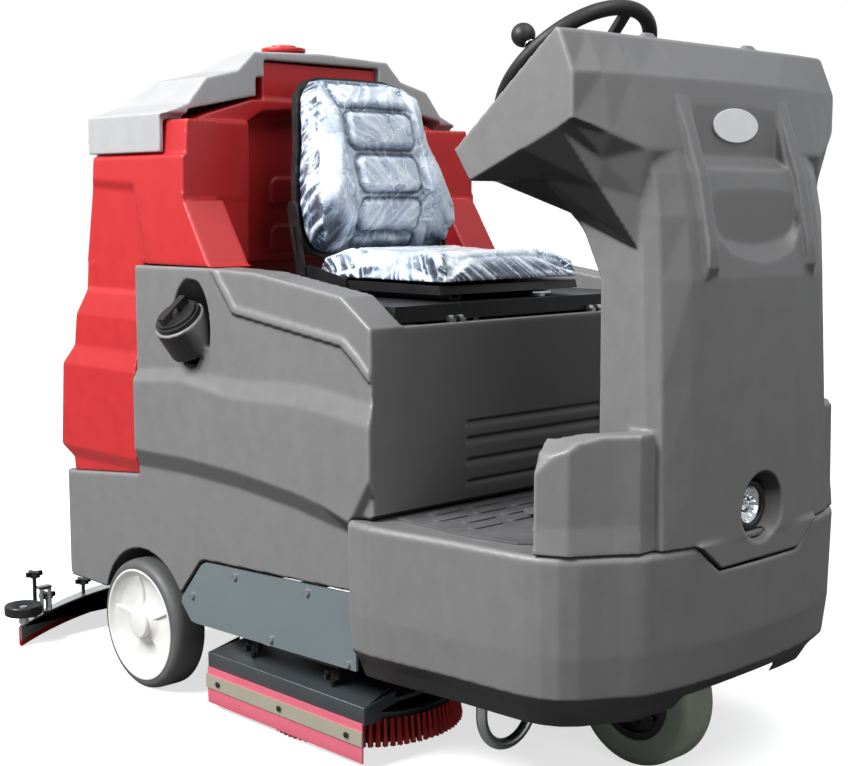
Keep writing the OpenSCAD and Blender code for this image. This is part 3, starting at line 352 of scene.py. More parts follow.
# darkened bristle red for the solid between the tufts: painted shade
M["bristle_dark"] = rubber("bristle_gap_shade_fill", (0.060, 0.001, 0.0015), (0.5, 0.7), 0.3, (0.16, 0.003, 0.004))


# ------------------------------------------------------------------ mesh helpers
def add_obj(name, me):
    o = bpy.data.objects.new(name, me)
    scene.collection.objects.link(o)
    return o


def set_mat(o, m):
    o.data.materials.clear()
    o.data.materials.append(m)
    for p in o.data.polygons:
        p.material_index = 0
    return o


def shade(o, angle=40):
    o.data.polygons.foreach_set("use_smooth", np.ones(len(o.data.polygons), bool))
    if angle is not None:
        o.data.set_sharp_from_angle(angle=math.radians(angle))
    return o


def cad_copy(node, dissolve=True, name=None):
    me = nodes[node].data.copy()
    for a in ("custom_normal",):
        if a in me.attributes:
            me.attributes.remove(me.attributes[a])
    bm = bmesh.new()
    bm.from_mesh(me)
    bmesh.ops.remove_doubles(bm, verts=bm.verts, dist=2e-5)
    if dissolve:
        bmesh.ops.dissolve_limit(bm, angle_limit=math.radians(0.5), verts=bm.verts, edges=bm.edges)
    bm.to_mesh(me)
    bm.free()
    o = add_obj(name or node + "_skin", me)
    return o


def baked(o):
    """The object's modifiers applied."""
    dg = bpy.context.evaluated_depsgraph_get()
    me = bpy.data.meshes.new_from_object(o.evaluated_get(dg))
    o.modifiers.clear()
    old = o.data
    o.data = me
    bpy.data.meshes.remove(old)
    return o


def put(o, node, slot=None):
    """The piece stands for a CAD node and rides with its body."""
    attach(o, body_of_node[node])
    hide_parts(node)
    return o


def soft_shell(node, mat, voxel=0.005, n=14, factor=0.5, fill=()):
    """Rotomoulded look: every edge of the CAD node rounded by the same small radius; fill thickens thin walls from inside."""
    o = cad_copy(node, False)
    if fill:
        bm = bmesh.new()
        bm.from_mesh(o.data)
        for poly, z0, z1 in fill:
            lo = [bm.verts.new(L(x, y, z0)) for x, y in poly]
            hi = [bm.verts.new(L(x, y, z1)) for x, y in poly]
            k = len(poly)
            new = [bm.faces.new(lo[::-1]), bm.faces.new(hi)] + [bm.faces.new((lo[i], lo[(i + 1) % k], hi[(i + 1) % k], hi[i])) for i in range(k)]
            bmesh.ops.recalc_face_normals(bm, faces=new)
        bm.to_mesh(o.data)
        bm.free()
    m = o.modifiers.new("v", "REMESH")
    m.mode = "VOXEL"
    m.voxel_size = voxel
    m.use_smooth_shade = True
    s = o.modifiers.new("s", "SMOOTH")
    s.factor = factor
    s.iterations = n
    baked(o)
    shade(o, None)
    set_mat(o, mat)
    return put(o, node)


def hard_part(node, mat, width=0.0015, seg=2, angle=32, name=None):
    o = cad_copy(node, True, name)
    m = o.modifiers.new("b", "BEVEL")
    m.width = width
    m.segments = seg
    m.limit_method = "ANGLE"
    m.angle_limit = math.radians(angle)
    m.harden_normals = False
    m.miter_outer = "MITER_ARC"
    baked(o)
    shade(o, 38)
    w = o.modifiers.new("w", "WEIGHTED_NORMAL")
    w.mode = "FACE_AREA"
    w.weight = 90
    w.keep_sharp = True
    baked(o)
    set_mat(o, mat)
    return put(o, node)


def frame_to(origin, axis, ref=(1, 0, 0)):
    z = Vector(axis).normalized()
    x = Vector(ref) - z * Vector(ref).dot(z)
    if x.length < 1e-6:
        x = Vector((0, 1, 0)) - z * z.y
    x.normalize()
    y = z.cross(x)
    m = Matrix((x, y, z)).transposed().to_4x4()
    m.translation = Vector(origin)
    return m


def lathe(name, prof, mat, origin, axis, segs=96, closed=True, ref=(1, 0, 0), wobble=None, ang=35):
    """Turned piece from (radius, height) points in mm about an axis through origin."""
    P = [(r / 1000, h / 1000) for r, h in prof]
    T = frame_to(origin, axis, ref)
    verts, faces = [], []
    n = len(P)
    for k in range(segs):
        a = 2 * math.pi * k / segs
        for j, (r, h) in enumerate(P):
            rr, hh = (r, h) if wobble is None else wobble(r, h, a, j)
            verts.append(T @ Vector((rr * math.cos(a), rr * math.sin(a), hh)))
    m = n if closed else n - 1
    for k in range(segs):
        k2 = (k + 1) % segs
        for j in range(m):
            j2 = (j + 1) % n
            faces.append((k * n + j, k2 * n + j, k2 * n + j2, k * n + j2))
    me = bpy.data.meshes.new(name)
    me.from_pydata(verts, [], faces)
    bm = bmesh.new()
    bm.from_mesh(me)
    bmesh.ops.remove_doubles(bm, verts=bm.verts, dist=1e-6)
    bmesh.ops.recalc_face_normals(bm, faces=bm.faces)
    bm.to_mesh(me)
    bm.free()
    o = add_obj(name, me)
    shade(o, ang)
    set_mat(o, mat)
    return o


def rounded(prof, r=1.5, k=3):
    """Corner-rounded copy of a closed (radius, height) outline."""
    out = []
    n = len(prof)
    for i in range(n):
        p, a, b = np.array(prof[i], float), np.array(prof[i - 1], float), np.array(prof[(i + 1) % n], float)
        la, lb = np.linalg.norm(a - p), np.linalg.norm(b - p)
        ca = (a - p) @ (b - p) / max(la * lb, 1e-9)
        if la < 1e-6 or lb < 1e-6 or ca < -0.985:
            out.append(tuple(p))
            continue
        q = min(r, la * 0.45, lb * 0.45)
        s, e = p + (a - p) / la * q, p + (b - p) / lb * q
        for t in np.linspace(0, 1, k + 1):
            out.append(tuple((1 - t) ** 2 * s + 2 * t * (1 - t) * p + t * t * e))
    return out


def tube(name, pts, r, mat, sides=16, cyc=False, cap=True):
    """Round tube through points in the row frame."""
    P = [Vector(p) for p in pts]
    n = len(P)
    verts, faces = [], []
    prev = None
    for i, p in enumerate(P):
        a = P[(i - 1) % n] if (cyc or i > 0) else p
        b = P[(i + 1) % n] if (cyc or i < n - 1) else p
        t = (b - a).normalized()
        if prev is None:
            u = t.orthogonal().normalized()
        else:
            u = (prev - t * prev.dot(t)).normalized()
        prev = u
        v = t.cross(u)
        rr = r[i] if isinstance(r, (list, tuple)) else r
        for k in range(sides):
            a_ = 2 * math.pi * k / sides
            verts.append(p + (u * math.cos(a_) + v * math.sin(a_)) * rr)
    m = n if cyc else n - 1
    for i in range(m):
        i2 = (i + 1) % n
        for k in range(sides):
            k2 = (k + 1) % sides
            faces.append((i * sides + k, i * sides + k2, i2 * sides + k2, i2 * sides + k))
    if cap and not cyc:
        faces.append(tuple(reversed(range(sides))))
        faces.append(tuple((n - 1) * sides + k for k in range(sides)))
    me = bpy.data.meshes.new(name)
    me.from_pydata(verts, [], faces)
    bm = bmesh.new()
    bm.from_mesh(me)
    bmesh.ops.recalc_face_normals(bm, faces=bm.faces)
    bm.to_mesh(me)
    bm.free()
    o = add_obj(name, me)
    shade(o, 50)
    set_mat(o, mat)
    return o


def prism(name, poly, z0, z1, mat, T=None, bev=0.0012, seg=2):
    """Solid from a plan outline in metres, with bevelled edges."""
    me = bpy.data.meshes.new(name)
    n = len(poly)
    v = [(x, y, z0) for x, y in poly] + [(x, y, z1) for x, y in poly]
    f = [tuple(reversed(range(n))), tuple(range(n, 2 * n))] + [(i, (i + 1) % n, n + (i + 1) % n, n + i) for i in range(n)]
    me.from_pydata(v, [], f)
    o = add_obj(name, me)
    if T is not None:
        me.transform(T)
    bm = bmesh.new()
    bm.from_mesh(me)
    bmesh.ops.recalc_face_normals(bm, faces=bm.faces)
    bm.to_mesh(me)
    bm.free()
    if bev:
        m = o.modifiers.new("b", "BEVEL")
        m.width = bev
        m.segments = seg
        m.limit_method = "ANGLE"
        m.angle_limit = math.radians(35)
        baked(o)
    shade(o, 38)
    set_mat(o, mat)
    return o


def blob(name, parts):
    """Several meshes joined into one piece."""
    bm = bmesh.new()
    mats = []
    for o in parts:
        me = o.data
        start = len(bm.faces)
        off = len(mats)
        mats.extend(list(me.materials))
        bm.from_mesh(me)
        bm.faces.ensure_lookup_table()
        for i in range(start, len(bm.faces)):
            bm.faces[i].material_index += off
        bpy.data.objects.remove(o)
    me = bpy.data.meshes.new(name)
    bm.to_mesh(me)
    bm.free()
    for m in mats:
        me.materials.append(m)
    return add_obj(name, me)


def circle_poly(r, n=32, cx=0.0, cy=0.0):
    return [(cx + r * math.cos(2 * math.pi * k / n), cy + r * math.sin(2 * math.pi * k / n)) for k in range(n)]


# ------------------------------------------------------------------ camera
cam = bpy.data.cameras.new("cam")
cam.lens = 63.3
cam.sensor_width = 36
cam.dof.use_dof = False
cam.clip_end = 200
cam_o = bpy.data.objects.new("cam", cam)
scene.collection.objects.link(cam_o)
cam_o.location = (-2.318, -2.541, 1.113)
cam_o.rotation_euler = (math.radians(83.08), 0, math.radians(-43.89))
scene.camera = cam_o

# ------------------------------------------------------------------ moulded shells
soft_shell("column_fairing", M["body"], 0.0037, 4)
soft_shell("front_body", M["body"], 0.0037, 4)
soft_shell("solution_tank", M["body"], 0.0040, 3)
soft_shell("recovery_tank", M["red"], 0.0040, 4,
           fill=[([(s_ * 440, 1290), (s_ * 440, 1316), (s_ * 409, 1359), (s_ * 350, 1370.5), (s_ * 350, 1340), (s_ * 400, 1290)], 880, 974) for s_ in (-1, 1)]
           + [([(s_ * 438, 1288), (s_ * 438, 1308), (s_ * 410, 1349), (s_ * 350, 1362), (s_ * 350, 1332), (s_ * 398, 1288)], 968, 1008) for s_ in (-1, 1)])
soft_shell("tank_lid", M["lid"], 0.0034, 4)

# ------------------------------------------------------------------ cushions under their clear film
def cushion_material():
    """Dark vinyl under a clear, crinkled film, coloured navy to white by the film value: milky where the film stands
    off, and mostly painted highlights on its crests and painted shade in its creases.
    """
    m, nt, b = new_mat("vinyl_film_painted_light")
    at = nt.nodes.new("ShaderNodeAttribute")
    at.attribute_name = "film"
    co = obj_coord(nt)
    fine = noise_node(nt, 46, 5, 0.65, co, 1.2)
    cr = noise_node(nt, 120, 4, 0.6, co, 2.0)
    def line(src, width):
        d = math_node(nt, "ABSOLUTE", math_node(nt, "SUBTRACT", src, 0.5))
        return math_node(nt, "SUBTRACT", 1.0, math_node(nt, "DIVIDE", d, width), True)
    w1 = noise_node(nt, 15, 2, 0.5, obj_coord(nt, (1.0, 1.0, 0.45), (0.4, 0.2, 0.5)), 1.6)
    w2 = noise_node(nt, 19, 2, 0.5, obj_coord(nt, (0.5, 1.0, 1.0), (0.1, 0.7, 0.2)), 1.8)
    # fine noise mottles the film value; w1 lines add thin white streaks (painted highlights), w2 lines thin darker
    # streaks (painted shade)
    f = math_node(nt, "ADD", at.outputs["Fac"], math_node(nt, "MULTIPLY", math_node(nt, "SUBTRACT", fine.outputs["Fac"], 0.5), 0.14))
    f = math_node(nt, "ADD", f, math_node(nt, "MULTIPLY", line(w1.outputs["Fac"], 0.016), 0.26))
    f = math_node(nt, "SUBTRACT", f, math_node(nt, "MULTIPLY", line(w2.outputs["Fac"], 0.014), 0.24), True)
    r = ramp(nt, f, [(0.0, (0.006, 0.011, 0.026)), (0.22, (0.035, 0.055, 0.085)), (0.45, (0.19, 0.25, 0.34)),
                     (0.68, (0.52, 0.61, 0.73)), (1.0, (0.93, 0.96, 1.0))])
    lk(nt, r.outputs["Color"], b.inputs["Base Color"])
    rr = ramp(nt, fine.outputs["Fac"], [(0.35, (0.26,) * 3), (0.65, (0.42,) * 3)])
    lk(nt, rr.outputs["Color"], b.inputs["Roughness"])
    crease = math_node(nt, "ABSOLUTE", math_node(nt, "SUBTRACT", fine.outputs["Fac"], 0.5))
    crease2 = math_node(nt, "ABSOLUTE", math_node(nt, "SUBTRACT", cr.outputs["Fac"], 0.5))
    n1 = bump(nt, crease, 0.35, 0.004)
    n2 = bump(nt, crease2, 0.35, 0.002, n1)
    lk(nt, n2, b.inputs["Normal"])
    lk(nt, n2, b.inputs["Coat Normal"])
    b.inputs["Coat Weight"].default_value = 0.8
    b.inputs["Coat Roughness"].default_value = 0.08
    b.inputs["Specular IOR Level"].default_value = 0.5
    return m


M["film"] = cushion_material()
BACK_T = Matrix.Translation(L(0, 792, 952)) @ Matrix.Rotation(math.radians(-12), 4, "X")


def verts_np(me):
    co = np.empty(len(me.vertices) * 3)
    me.vertices.foreach_get("co", co)
    return co.reshape(-1, 3)


def normals_np(me):
    no = np.empty(len(me.vertices) * 3)
    me.vertices.foreach_get("normal", no)
    return no.reshape(-1, 3)


def set_verts(me, co):
    me.vertices.foreach_set("co", np.asarray(co, float).ravel())
    me.update()


def inflate(node, inset, cap, voxel=0.006, pressure=4.0, hold=None):
    """Cloth under pressure, started a little inside the CAD solid; hold() says which points stay put."""
    o = cad_copy(node, False)
    m = o.modifiers.new("v", "REMESH")
    m.mode = "VOXEL"
    m.voxel_size = voxel
    s = o.modifiers.new("s", "SMOOTH")
    s.factor = 0.5
    s.iterations = 10
    baked(o)
    me = o.data
    co = verts_np(me)
    set_verts(me, co - normals_np(me) * inset)
    start = verts_np(me)
    if hold is not None:
        vg = o.vertex_groups.new(name="hold")
        idx = [int(i) for i in np.nonzero(hold(start))[0]]
        vg.add(idx, 1.0, "ADD")
    c = o.modifiers.new("c", "CLOTH")
    st = c.settings
    st.use_pressure = True
    st.uniform_pressure_force = pressure
    st.quality = 5
    st.mass = 0.3
    st.tension_stiffness = 15
    st.compression_stiffness = 15
    st.shear_stiffness = 5
    st.bending_stiffness = 0.5
    st.effector_weights.gravity = 0
    if hold is not None:
        st.vertex_group_mass = "hold"
    c.point_cache.frame_start = 1
    c.point_cache.frame_end = 20
    for f in range(1, 21):
        scene.frame_set(f)
    baked(o)
    scene.frame_set(1)
    end = verts_np(o.data)
    d = end - start
    n = np.linalg.norm(d, axis=1, keepdims=True)
    end = start + d * np.minimum(1, cap / np.maximum(n, 1e-9))
    set_verts(o.data, end)
    s = o.modifiers.new("s", "SMOOTH")
    s.factor = 0.5
    s.iterations = 3
    s2 = o.modifiers.new("u", "SUBSURF")
    s2.levels = s2.render_levels = 1
    return baked(o)


def rrect(px, pz, cx, cz, hx, hz, r):
    qx, qz = np.abs(px - cx) - (hx - r), np.abs(pz - cz) - (hz - r)
    return np.hypot(np.maximum(qx, 0), np.maximum(qz, 0)) + np.minimum(np.maximum(qx, qz), 0) - r


def streaks(u, v, short, long_, seed, warp=0.35, sharp=3.0):
    """Ridges that run along v and repeat across u, in mm."""
    w = vnoise(np.stack([u / 60, v / 60, 0 * u], 1), seed + 7) - 0.5
    return ridged(np.stack([u / short + w * warp * 6, v / long_ + w, 0 * u + seed], 1), seed, sharp)


def film_value_with_painted_light(me, v):
    a = me.attributes.new("film", "FLOAT", "POINT")
    a.data.foreach_set("value", np.clip(v, 0, 1).astype(np.float32))


def make_backrest():
    inv = BACK_T.inverted()
    A = np.array(inv)
    def local(co):
        return (co @ A[:3, :3].T + A[:3, 3]) * 1000
    o = inflate("backrest_cushion", 0.004, 0.024, hold=lambda co: local(co)[:, 1] > -14)
    me = o.data
    co, no = verts_np(me), normals_np(me)
    p = local(co)
    nl = no @ A[:3, :3].T
    x, y, z = p[:, 0], p[:, 1], p[:, 2]
    front = smooth01((-nl[:, 1] - 0.34) / 0.44)
    side = 1 - front
    # centre channel, four pads and a roll at the foot
    h = -7.0 * smooth01((120 - np.abs(x)) / 12) * smooth01((452 - z) / 14)
    pads = [(0, 402, 105, 36, 20, 10), (0, 313, 101, 45, 26, 10), (0, 211, 94, 46, 26, 10), (0, 117, 92, 35, 20, 9), (0, 64, 92, 13, 11, 6)]
    sd_all = np.full(len(x), 1e3)
    for cx, cz, hx, hz, r, up in pads:
        sd = rrect(x, z, cx, cz, hx, hz, r)
        sd_all = np.where(np.abs(sd) < np.abs(sd_all), sd, sd_all)
        h += up * smooth01(-sd / 16) - 3.6 * np.exp(-((sd - 1) / 4.0) ** 2)
        h += 1.0 * np.exp(-((sd + 9) / 2.6) ** 2)
    # bolsters
    ax = np.abs(x)
    h += 5.0 * np.exp(-((ax - 158) / 26) ** 2) * smooth01((z - 40) / 60)
    groove_painted_shade = np.exp(-((sd_all - 1) / 5.0) ** 2)
    # film: long folds across the pads, a fan at the lower corners, short tucks down the sides
    a = np.radians(-52)
    s_, t_ = x * np.cos(a) + z * np.sin(a), -x * np.sin(a) + z * np.cos(a)
    f1 = streaks(t_, s_, 17, 90, 3)
    a = np.radians(38)
    s_, t_ = x * np.cos(a) + z * np.sin(a), -x * np.sin(a) + z * np.cos(a)
    f2 = streaks(t_, s_, 15, 80, 11)
    area_n = smooth01((vnoise(np.stack([x / 70, z / 70, 0 * x], 1), 21) - 0.32) / 0.3)
    centre = smooth01((128 - ax) / 16)
    low = smooth01((190 - z) / 120)
    edge = smooth01((ax - 150) / 36)
    fold = (f1 * area_n + f2 * (1 - area_n)) * (0.75 * centre + 0.30 * (1 - centre) + 0.5 * low)
    ang = np.arctan2(z - 250, ax - 60)
    fan = streaks(np.degrees(ang) * 3.2, np.hypot(z - 250, ax - 60), 13, 120, 31) * low * smooth01((ax - 70) / 60)
    top = streaks(x, z, 19, 60, 41) * smooth01((z - 404) / 36) * 0.8
    wall = streaks(z + 0.45 * y, y, 13, 46, 51, 0.2, 2.4) * side
    h_front = h * front + (2.7 * fold + 2.6 * fan + 1.6 * top) * front
    h_all = h_front + 2.2 * wall * smooth01((-y - 6) / 14)
    keep = smooth01((-y - 8) / 14)
    co2 = co + no * (h_all * keep / 1000)[:, None]
    set_verts(me, co2)
    # film value: fold, fan and top crests white, raised pads a little lighter, the left rim white and both bolsters
    # lighter, all painted highlights; channel grooves darker, painted shade; darker navy towards the two lower corners,
    # with white fan crests there too; side walls dark with white crest streaks, painted highlights
    navy = smooth01((175 - z) / 90) * smooth01((-x - 118) / 50) + 0.55 * smooth01((120 - z) / 60) * smooth01((x - 110) / 40)
    v = 0.70 + 0.34 * (fold + fan + top - 0.28) * front - 0.34 * groove_painted_shade * front + 0.07 * (h / 8) * front
    v += 0.30 * smooth01((-x - 150) / 22) * smooth01((z - 120) / 80) * front
    v += 0.10 * smooth01((ax - 120) / 30) * smooth01((z - 180) / 60)
    v = v * (1 - 0.9 * np.clip(navy, 0, 1)) + 0.5 * (fan ** 2) * np.clip(navy, 0, 1)
    v = v * (1 - side) + side * (0.16 + 0.85 * wall ** 1.5)
    film_value_with_painted_light(me, v)
    return o


def make_seat():
    o = inflate("seat_cushion", 0.004, 0.024, hold=lambda co: co[:, 2] < 0.9535)
    me = o.data
    co, no = verts_np(me), normals_np(me)
    x, y, z = co[:, 0] * 1000, (co[:, 1] + YC) * 1000, co[:, 2] * 1000
    up = smooth01((no[:, 2] - 0.52) / 0.36)
    wall = 1 - up
    sx = np.abs(no[:, 0]) > np.abs(no[:, 1])
    u = np.where(sx, np.where(x < 0, -(y - 560), y - 560), x)
    ph = u + 0.9 * (z - 948)
    w1 = streaks(ph, z * 1.0, 12, 70, 5, 0.25, 2.2)
    w2 = streaks(ph * 1.0 + 40, z, 5.5, 50, 15, 0.2, 2.5)
    rim = np.exp(-((z - 984) / 9) ** 2)
    h = wall * (3.4 * w1 + 1.2 * w2) * smooth01((z - 950) / 10)
    a = np.radians(-30)
    s_, t_ = x * np.cos(a) + y * np.sin(a), -x * np.sin(a) + y * np.cos(a)
    tops = streaks(t_, s_, 34, 130, 25, 0.5, 2.0)
    seam = np.exp(-((rrect(x, y, 0, 560, 150, 158, 40)) / 5.0) ** 2)
    rolls = sum(np.exp(-((y - yy) / 5.0) ** 2) * (rrect(x, y, 0, 560, 150, 158, 40) < 0) for yy in (455, 560, 665))
    h += up * (1.6 * tops - 3.2 * seam - 2.6 * np.clip(rolls, 0, 1) + 1.0)
    keep = smooth01((z - 949) / 4)
    set_verts(me, co + no * (h * keep / 1000)[:, None])
    # film value: tops near white and a lighter band at the top rim, painted highlights; seams and rolls darker, painted
    # shade; walls dark with white crest streaks, painted highlights
    v = up * (0.84 + 0.22 * (tops - 0.3) - 0.26 * seam - 0.2 * np.clip(rolls, 0, 1)) + wall * (0.02 + 0.86 * w1 ** 1.5 + 0.30 * w2 * w1 + 0.12 * rim)
    film_value_with_painted_light(me, v)
    return o


for node_, make_, fill_ in (("backrest_cushion", make_backrest, 0.75), ("seat_cushion", make_seat, 0.8)):
    o = make_()
    o.name = node_ + "_padded"
    shade(o, None)
    set_mat(o, M["film"])
    put(o, node_)

# ------------------------------------------------------------------ rear wheels
def crease_rim(r, h, a, j):
    t = (5 * a / (2 * math.pi) + 0.18) % 1.0
    k = float(smooth01((r * 1000 - 36) / 16)) * float(smooth01((114 - r * 1000) / 12))
    if h < 0.050:
        k = 0
    f = (1 - t) ** 2.6 - 0.25
    return r, h + 0.0062 * k * f


def rear_wheel(s, side):
    o = L(s * (480 - 84), 1080, 150)
    ax = (s, 0, 0)
    tyre = lathe("rear_tyre_%s_round" % side, rounded([(118, 0), (141, 0), (149, 8), (150, 18), (150, 64), (147, 75), (139, 82.5), (129.5, 83.6), (121, 80)], 6, 5),
                 M["tyre"], o, ax, 144, ang=60)
    put(tyre, "rear_tyre_" + side)
    rim = lathe("rear_rim_%s_dished" % side, rounded([(15.05, 4), (34, 4), (34, 30), (104, 30), (104, 4), (117.8, 4), (117.8, 79), (121, 82), (128.8, 83.8), (127.5, 85.6), (123, 85.6),
                 (120.5, 82), (114, 75), (102, 68), (88, 63.5), (74, 61.5), (60, 61.5), (48, 64), (39, 70), (33.5, 76), (15.05, 76)], 4, 4),
                M["rim"], o, ax, 240, ang=42, wobble=crease_rim)
    cap = lathe("cap", rounded([(0.2, 70), (32, 70), (32.5, 84), (30, 87.6), (14, 89.4), (0.2, 89.8)], 2.5, 4), M["rim"], o, ax, 72, ang=50)
    rim2 = blob("rear_rim_%s_dished" % side, [rim, cap])
    put(rim2, "rear_rim_" + side)


for n_ in ("left", "right"):
    rear_wheel(-1 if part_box("rear_tyre_" + n_)[0][0] < 0 else 1, n_)

# ------------------------------------------------------------------ front wheel
def front_tread(r, h, a, j):
    if r > 0.1215:
        return r - 0.0007 * (0.5 + 0.5 * math.cos(90 * a)), h
    return r, h


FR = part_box("front_tyre")[1][2] / 2
fr_mm = FR * 1000
ft = lathe("front_tyre_round", rounded([(88, -45), (fr_mm - 14, -45), (fr_mm - 4, -40), (fr_mm, -30), (fr_mm, -12), (fr_mm - 1.6, -10.5), (fr_mm - 1.6, -8), (fr_mm, -6.5), (fr_mm, 6.5), (fr_mm - 1.6, 8),
           (fr_mm - 1.6, 10.5), (fr_mm, 12), (fr_mm, 30), (fr_mm - 4, 40), (fr_mm - 14, 45), (88, 45)], 5, 4), M["tyre_front"], L(0, 0, fr_mm), (1, 0, 0), 180, ang=60)
put(ft, "front_tyre")


# ------------------------------------------------------------------ brushes
def brush_piece(s, node):
    cx, cy = s * 222, 590
    parts = [lathe("b", rounded([(60, 58), (204, 58), (206, 62), (206, 72), (200, 78), (64, 80), (60, 97), (15, 98), (15, 157), (0.2, 157), (0.2, 68), (58, 68)], 2.5, 3), M["black"], L(cx, cy, 0), (0, 0, 1), 120)]
    verts, faces = [], []
    rng = np.random.RandomState(5)
    def tuft(px, py, rad, lean, r0, r1, z1, z0):
        n = 10
        base = len(verts)
        th0 = rng.rand() * 6.28
        for lv in range(4):
            t = lv / 3
            r = r0 + (r1 - r0) * t ** 1.5
            zz = z1 + (z0 - z1) * t
            ox, oy = lean * math.cos(rad) * t, lean * math.sin(rad) * t
            for k in range(n):
                a = th0 + 2 * math.pi * k / n
                rr = r * (1.0 + (0.16 if k % 2 else -0.12) * (0.4 + t))
                zj = zz + (rng.rand() * 1.6 if lv == 3 else 0)
                verts.append(L(px + ox + rr * math.cos(a), py + oy + rr * math.sin(a), zj))
        for lv in range(3):
            for k in range(n):
                k2 = (k + 1) % n
                faces.append((base + lv * n + k, base + lv * n + k2, base + (lv + 1) * n + k2, base + (lv + 1) * n + k))
        faces.append(tuple(base + 3 * n + k for k in range(n)))
        faces.append(tuple(base + k for k in reversed(range(n))))
    # a dark red solid fills the gaps between the tufts over their full height: painted shade between the tufts
    parts.append(lathe("tuft_gap_shade", rounded([(96, 58.5), (96, 6), (110, 3), (188, 2.4), (195, 6), (195, 58.5)], 3, 3), M["bristle_dark"], L(cx, cy, 0), (0, 0, 1), 160,
                       wobble=lambda r, h, a, j: (r - (0.0012 * (0.5 + 0.5 * math.cos(80 * a)) if r > 0.18 else 0), h), ang=60))
    for rr, cnt, ph in ((201, 84, 0.0), (184, 66, 0.4), (164, 48, 0.2), (140, 36, 0.3), (112, 28, 0.1)):
        for k in range(cnt):
            a = 2 * math.pi * (k + ph) / cnt
            tuft(cx + rr * math.cos(a), cy + rr * math.sin(a), a, 7.0 if rr > 190 else 4.0, 3.6, 5.4, 60, 1.0)
    me = bpy.data.meshes.new("tufts")
    me.from_pydata(verts, [], faces)
    t_o = add_obj("tufts", me)
    shade(t_o, 60)
    set_mat(t_o, M["bristle"])
    bm = bmesh.new()
    bm.from_mesh(me)
    bmesh.ops.recalc_face_normals(bm, faces=bm.faces)
    bm.to_mesh(me)
    bm.free()
    parts.append(t_o)
    o = blob(node + "_tufted", parts)
    put(o, node)


for n_ in ("brush_left", "brush_right"):
    brush_piece(1 if (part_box(n_)[0][0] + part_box(n_)[1][0]) > 0 else -1, n_)

# ------------------------------------------------------------------ everything still plain
plain = {
    "floor_mat": ("mat", 0.0012), "dash_panel": ("black", 0.002), "dash_display": ("black", 0.0008),
    "side_panels": ("panel", 0.0012), "panel_screws": ("steel", 0.0008), "battery_pack": ("black", 0.003),
    "chassis_frame": ("frame", 0.002), "vacuum_motor": ("steel", 0.002), "rear_axle": ("steel", 0.001),
    "seat_hinge_base": ("steel", 0.0006), "steering_column": ("steel", 0.001), "filler_cap": ("black", 0.0025),
    "lid_cap": ("red", 0.003), "seat_plate": ("frame", 0.002), "seat_rails": ("frame", 0.0008),
    "seat_pan": ("black", 0.003), "slide_lever": ("steel", 0.001), "backrest_shell": ("black", 0.002),
    "drive_fork": ("frame", 0.002), "drive_motor": ("frame", 0.003), "brush_deck": ("deck", 0.0016),
    "deck_skirts": ("skirt", 0.0008), "skirt_strips": ("brass", 0.0006), "deck_knobs": ("black", 0.0012),
    "brush_motors": ("frame", 0.002), "squeegee_arm": ("frame", 0.0015), "squeegee_bar": ("plate", 0.0008),
    "squeegee_blades": ("blade_red", 0.0006), "squeegee_knobs": ("black", 0.0012), "accelerator_pedal": ("mat", 0.0015),
    "brake_pedal": ("mat", 0.0015), "key_switch": ("steel", 0.0008), "emergency_stop": ("red", 0.0015),
    "direction_switch": ("black", 0.001), "steering_chain": ("steel", 0.0005), "suction_port": ("black", 0.0015),
    "badge_plate": ("lid", 0.0008), "headlight_bezel": ("black", 0.0015), "drain_hose": ("hose", 0.0),
    "steering_wheel": ("black_soft", 0.0), "guide_bar": ("steel", 0.0), "spinner_knob": ("black_soft", 0.0),
    "roller_left": ("black", 0.001), "roller_right": ("black", 0.001), "front_hub": ("black", 0.002),
    
    "headlight_lens": ("lid", 0.001),
}
for n_ in ("badge_plate", "headlight_bezel", "headlight_lens", "drain_hose", "spinner_knob", "squeegee_bar", "brush_deck",
           "skirt_strips", "dash_display", "steering_wheel", "guide_bar"):
    plain.pop(n_)
for n_, (mk, w_) in plain.items():
    hard_part(n_, M[mk], w_ or 0.0004, 2)


def finishes(o, mats, pick):
    """Several finishes on one piece, chosen by each face's centre in layout mm and its normal."""
    o.data.materials.clear()
    for m in mats:
        o.data.materials.append(m)
    for p in o.data.polygons:
        c = p.center
        p.material_index = pick(c.x * 1000, (c.y + YC) * 1000, c.z * 1000, p.normal)
    return o


def bar_finish(x, y, z, n):
    ax = abs(x)
    if ax > 390 and z > 55.4:
        return 2
    if ax < 24 and y > 1740 and z > 55.4:
        return 3
    if 50 < ax < 64 and z > 55.4 or z > 130:
        return 3
    return 0 if z > 49.9 else 1


finishes(hard_part("squeegee_bar", M["plate"], 0.0008, 2), [M["plate"], M["clamp"], M["steel"], M["frame"]], bar_finish)
finishes(hard_part("skirt_strips", M["brass"], 0.0006, 2), [M["brass"], M["frame"]], lambda x, y, z, n: 1 if abs(x) > 453.3 else 0)
hard_part("badge_plate", M["badge"], 0.0012, 3)
hard_part("dash_display", M["disp"], 0.0008, 2)
for n_, k_ in (("steering_wheel", "black_soft"), ("guide_bar", "steel")):
    o = cad_copy(n_, False)
    shade(o, 42)
    set_mat(o, M[k_])
    put(o, n_)


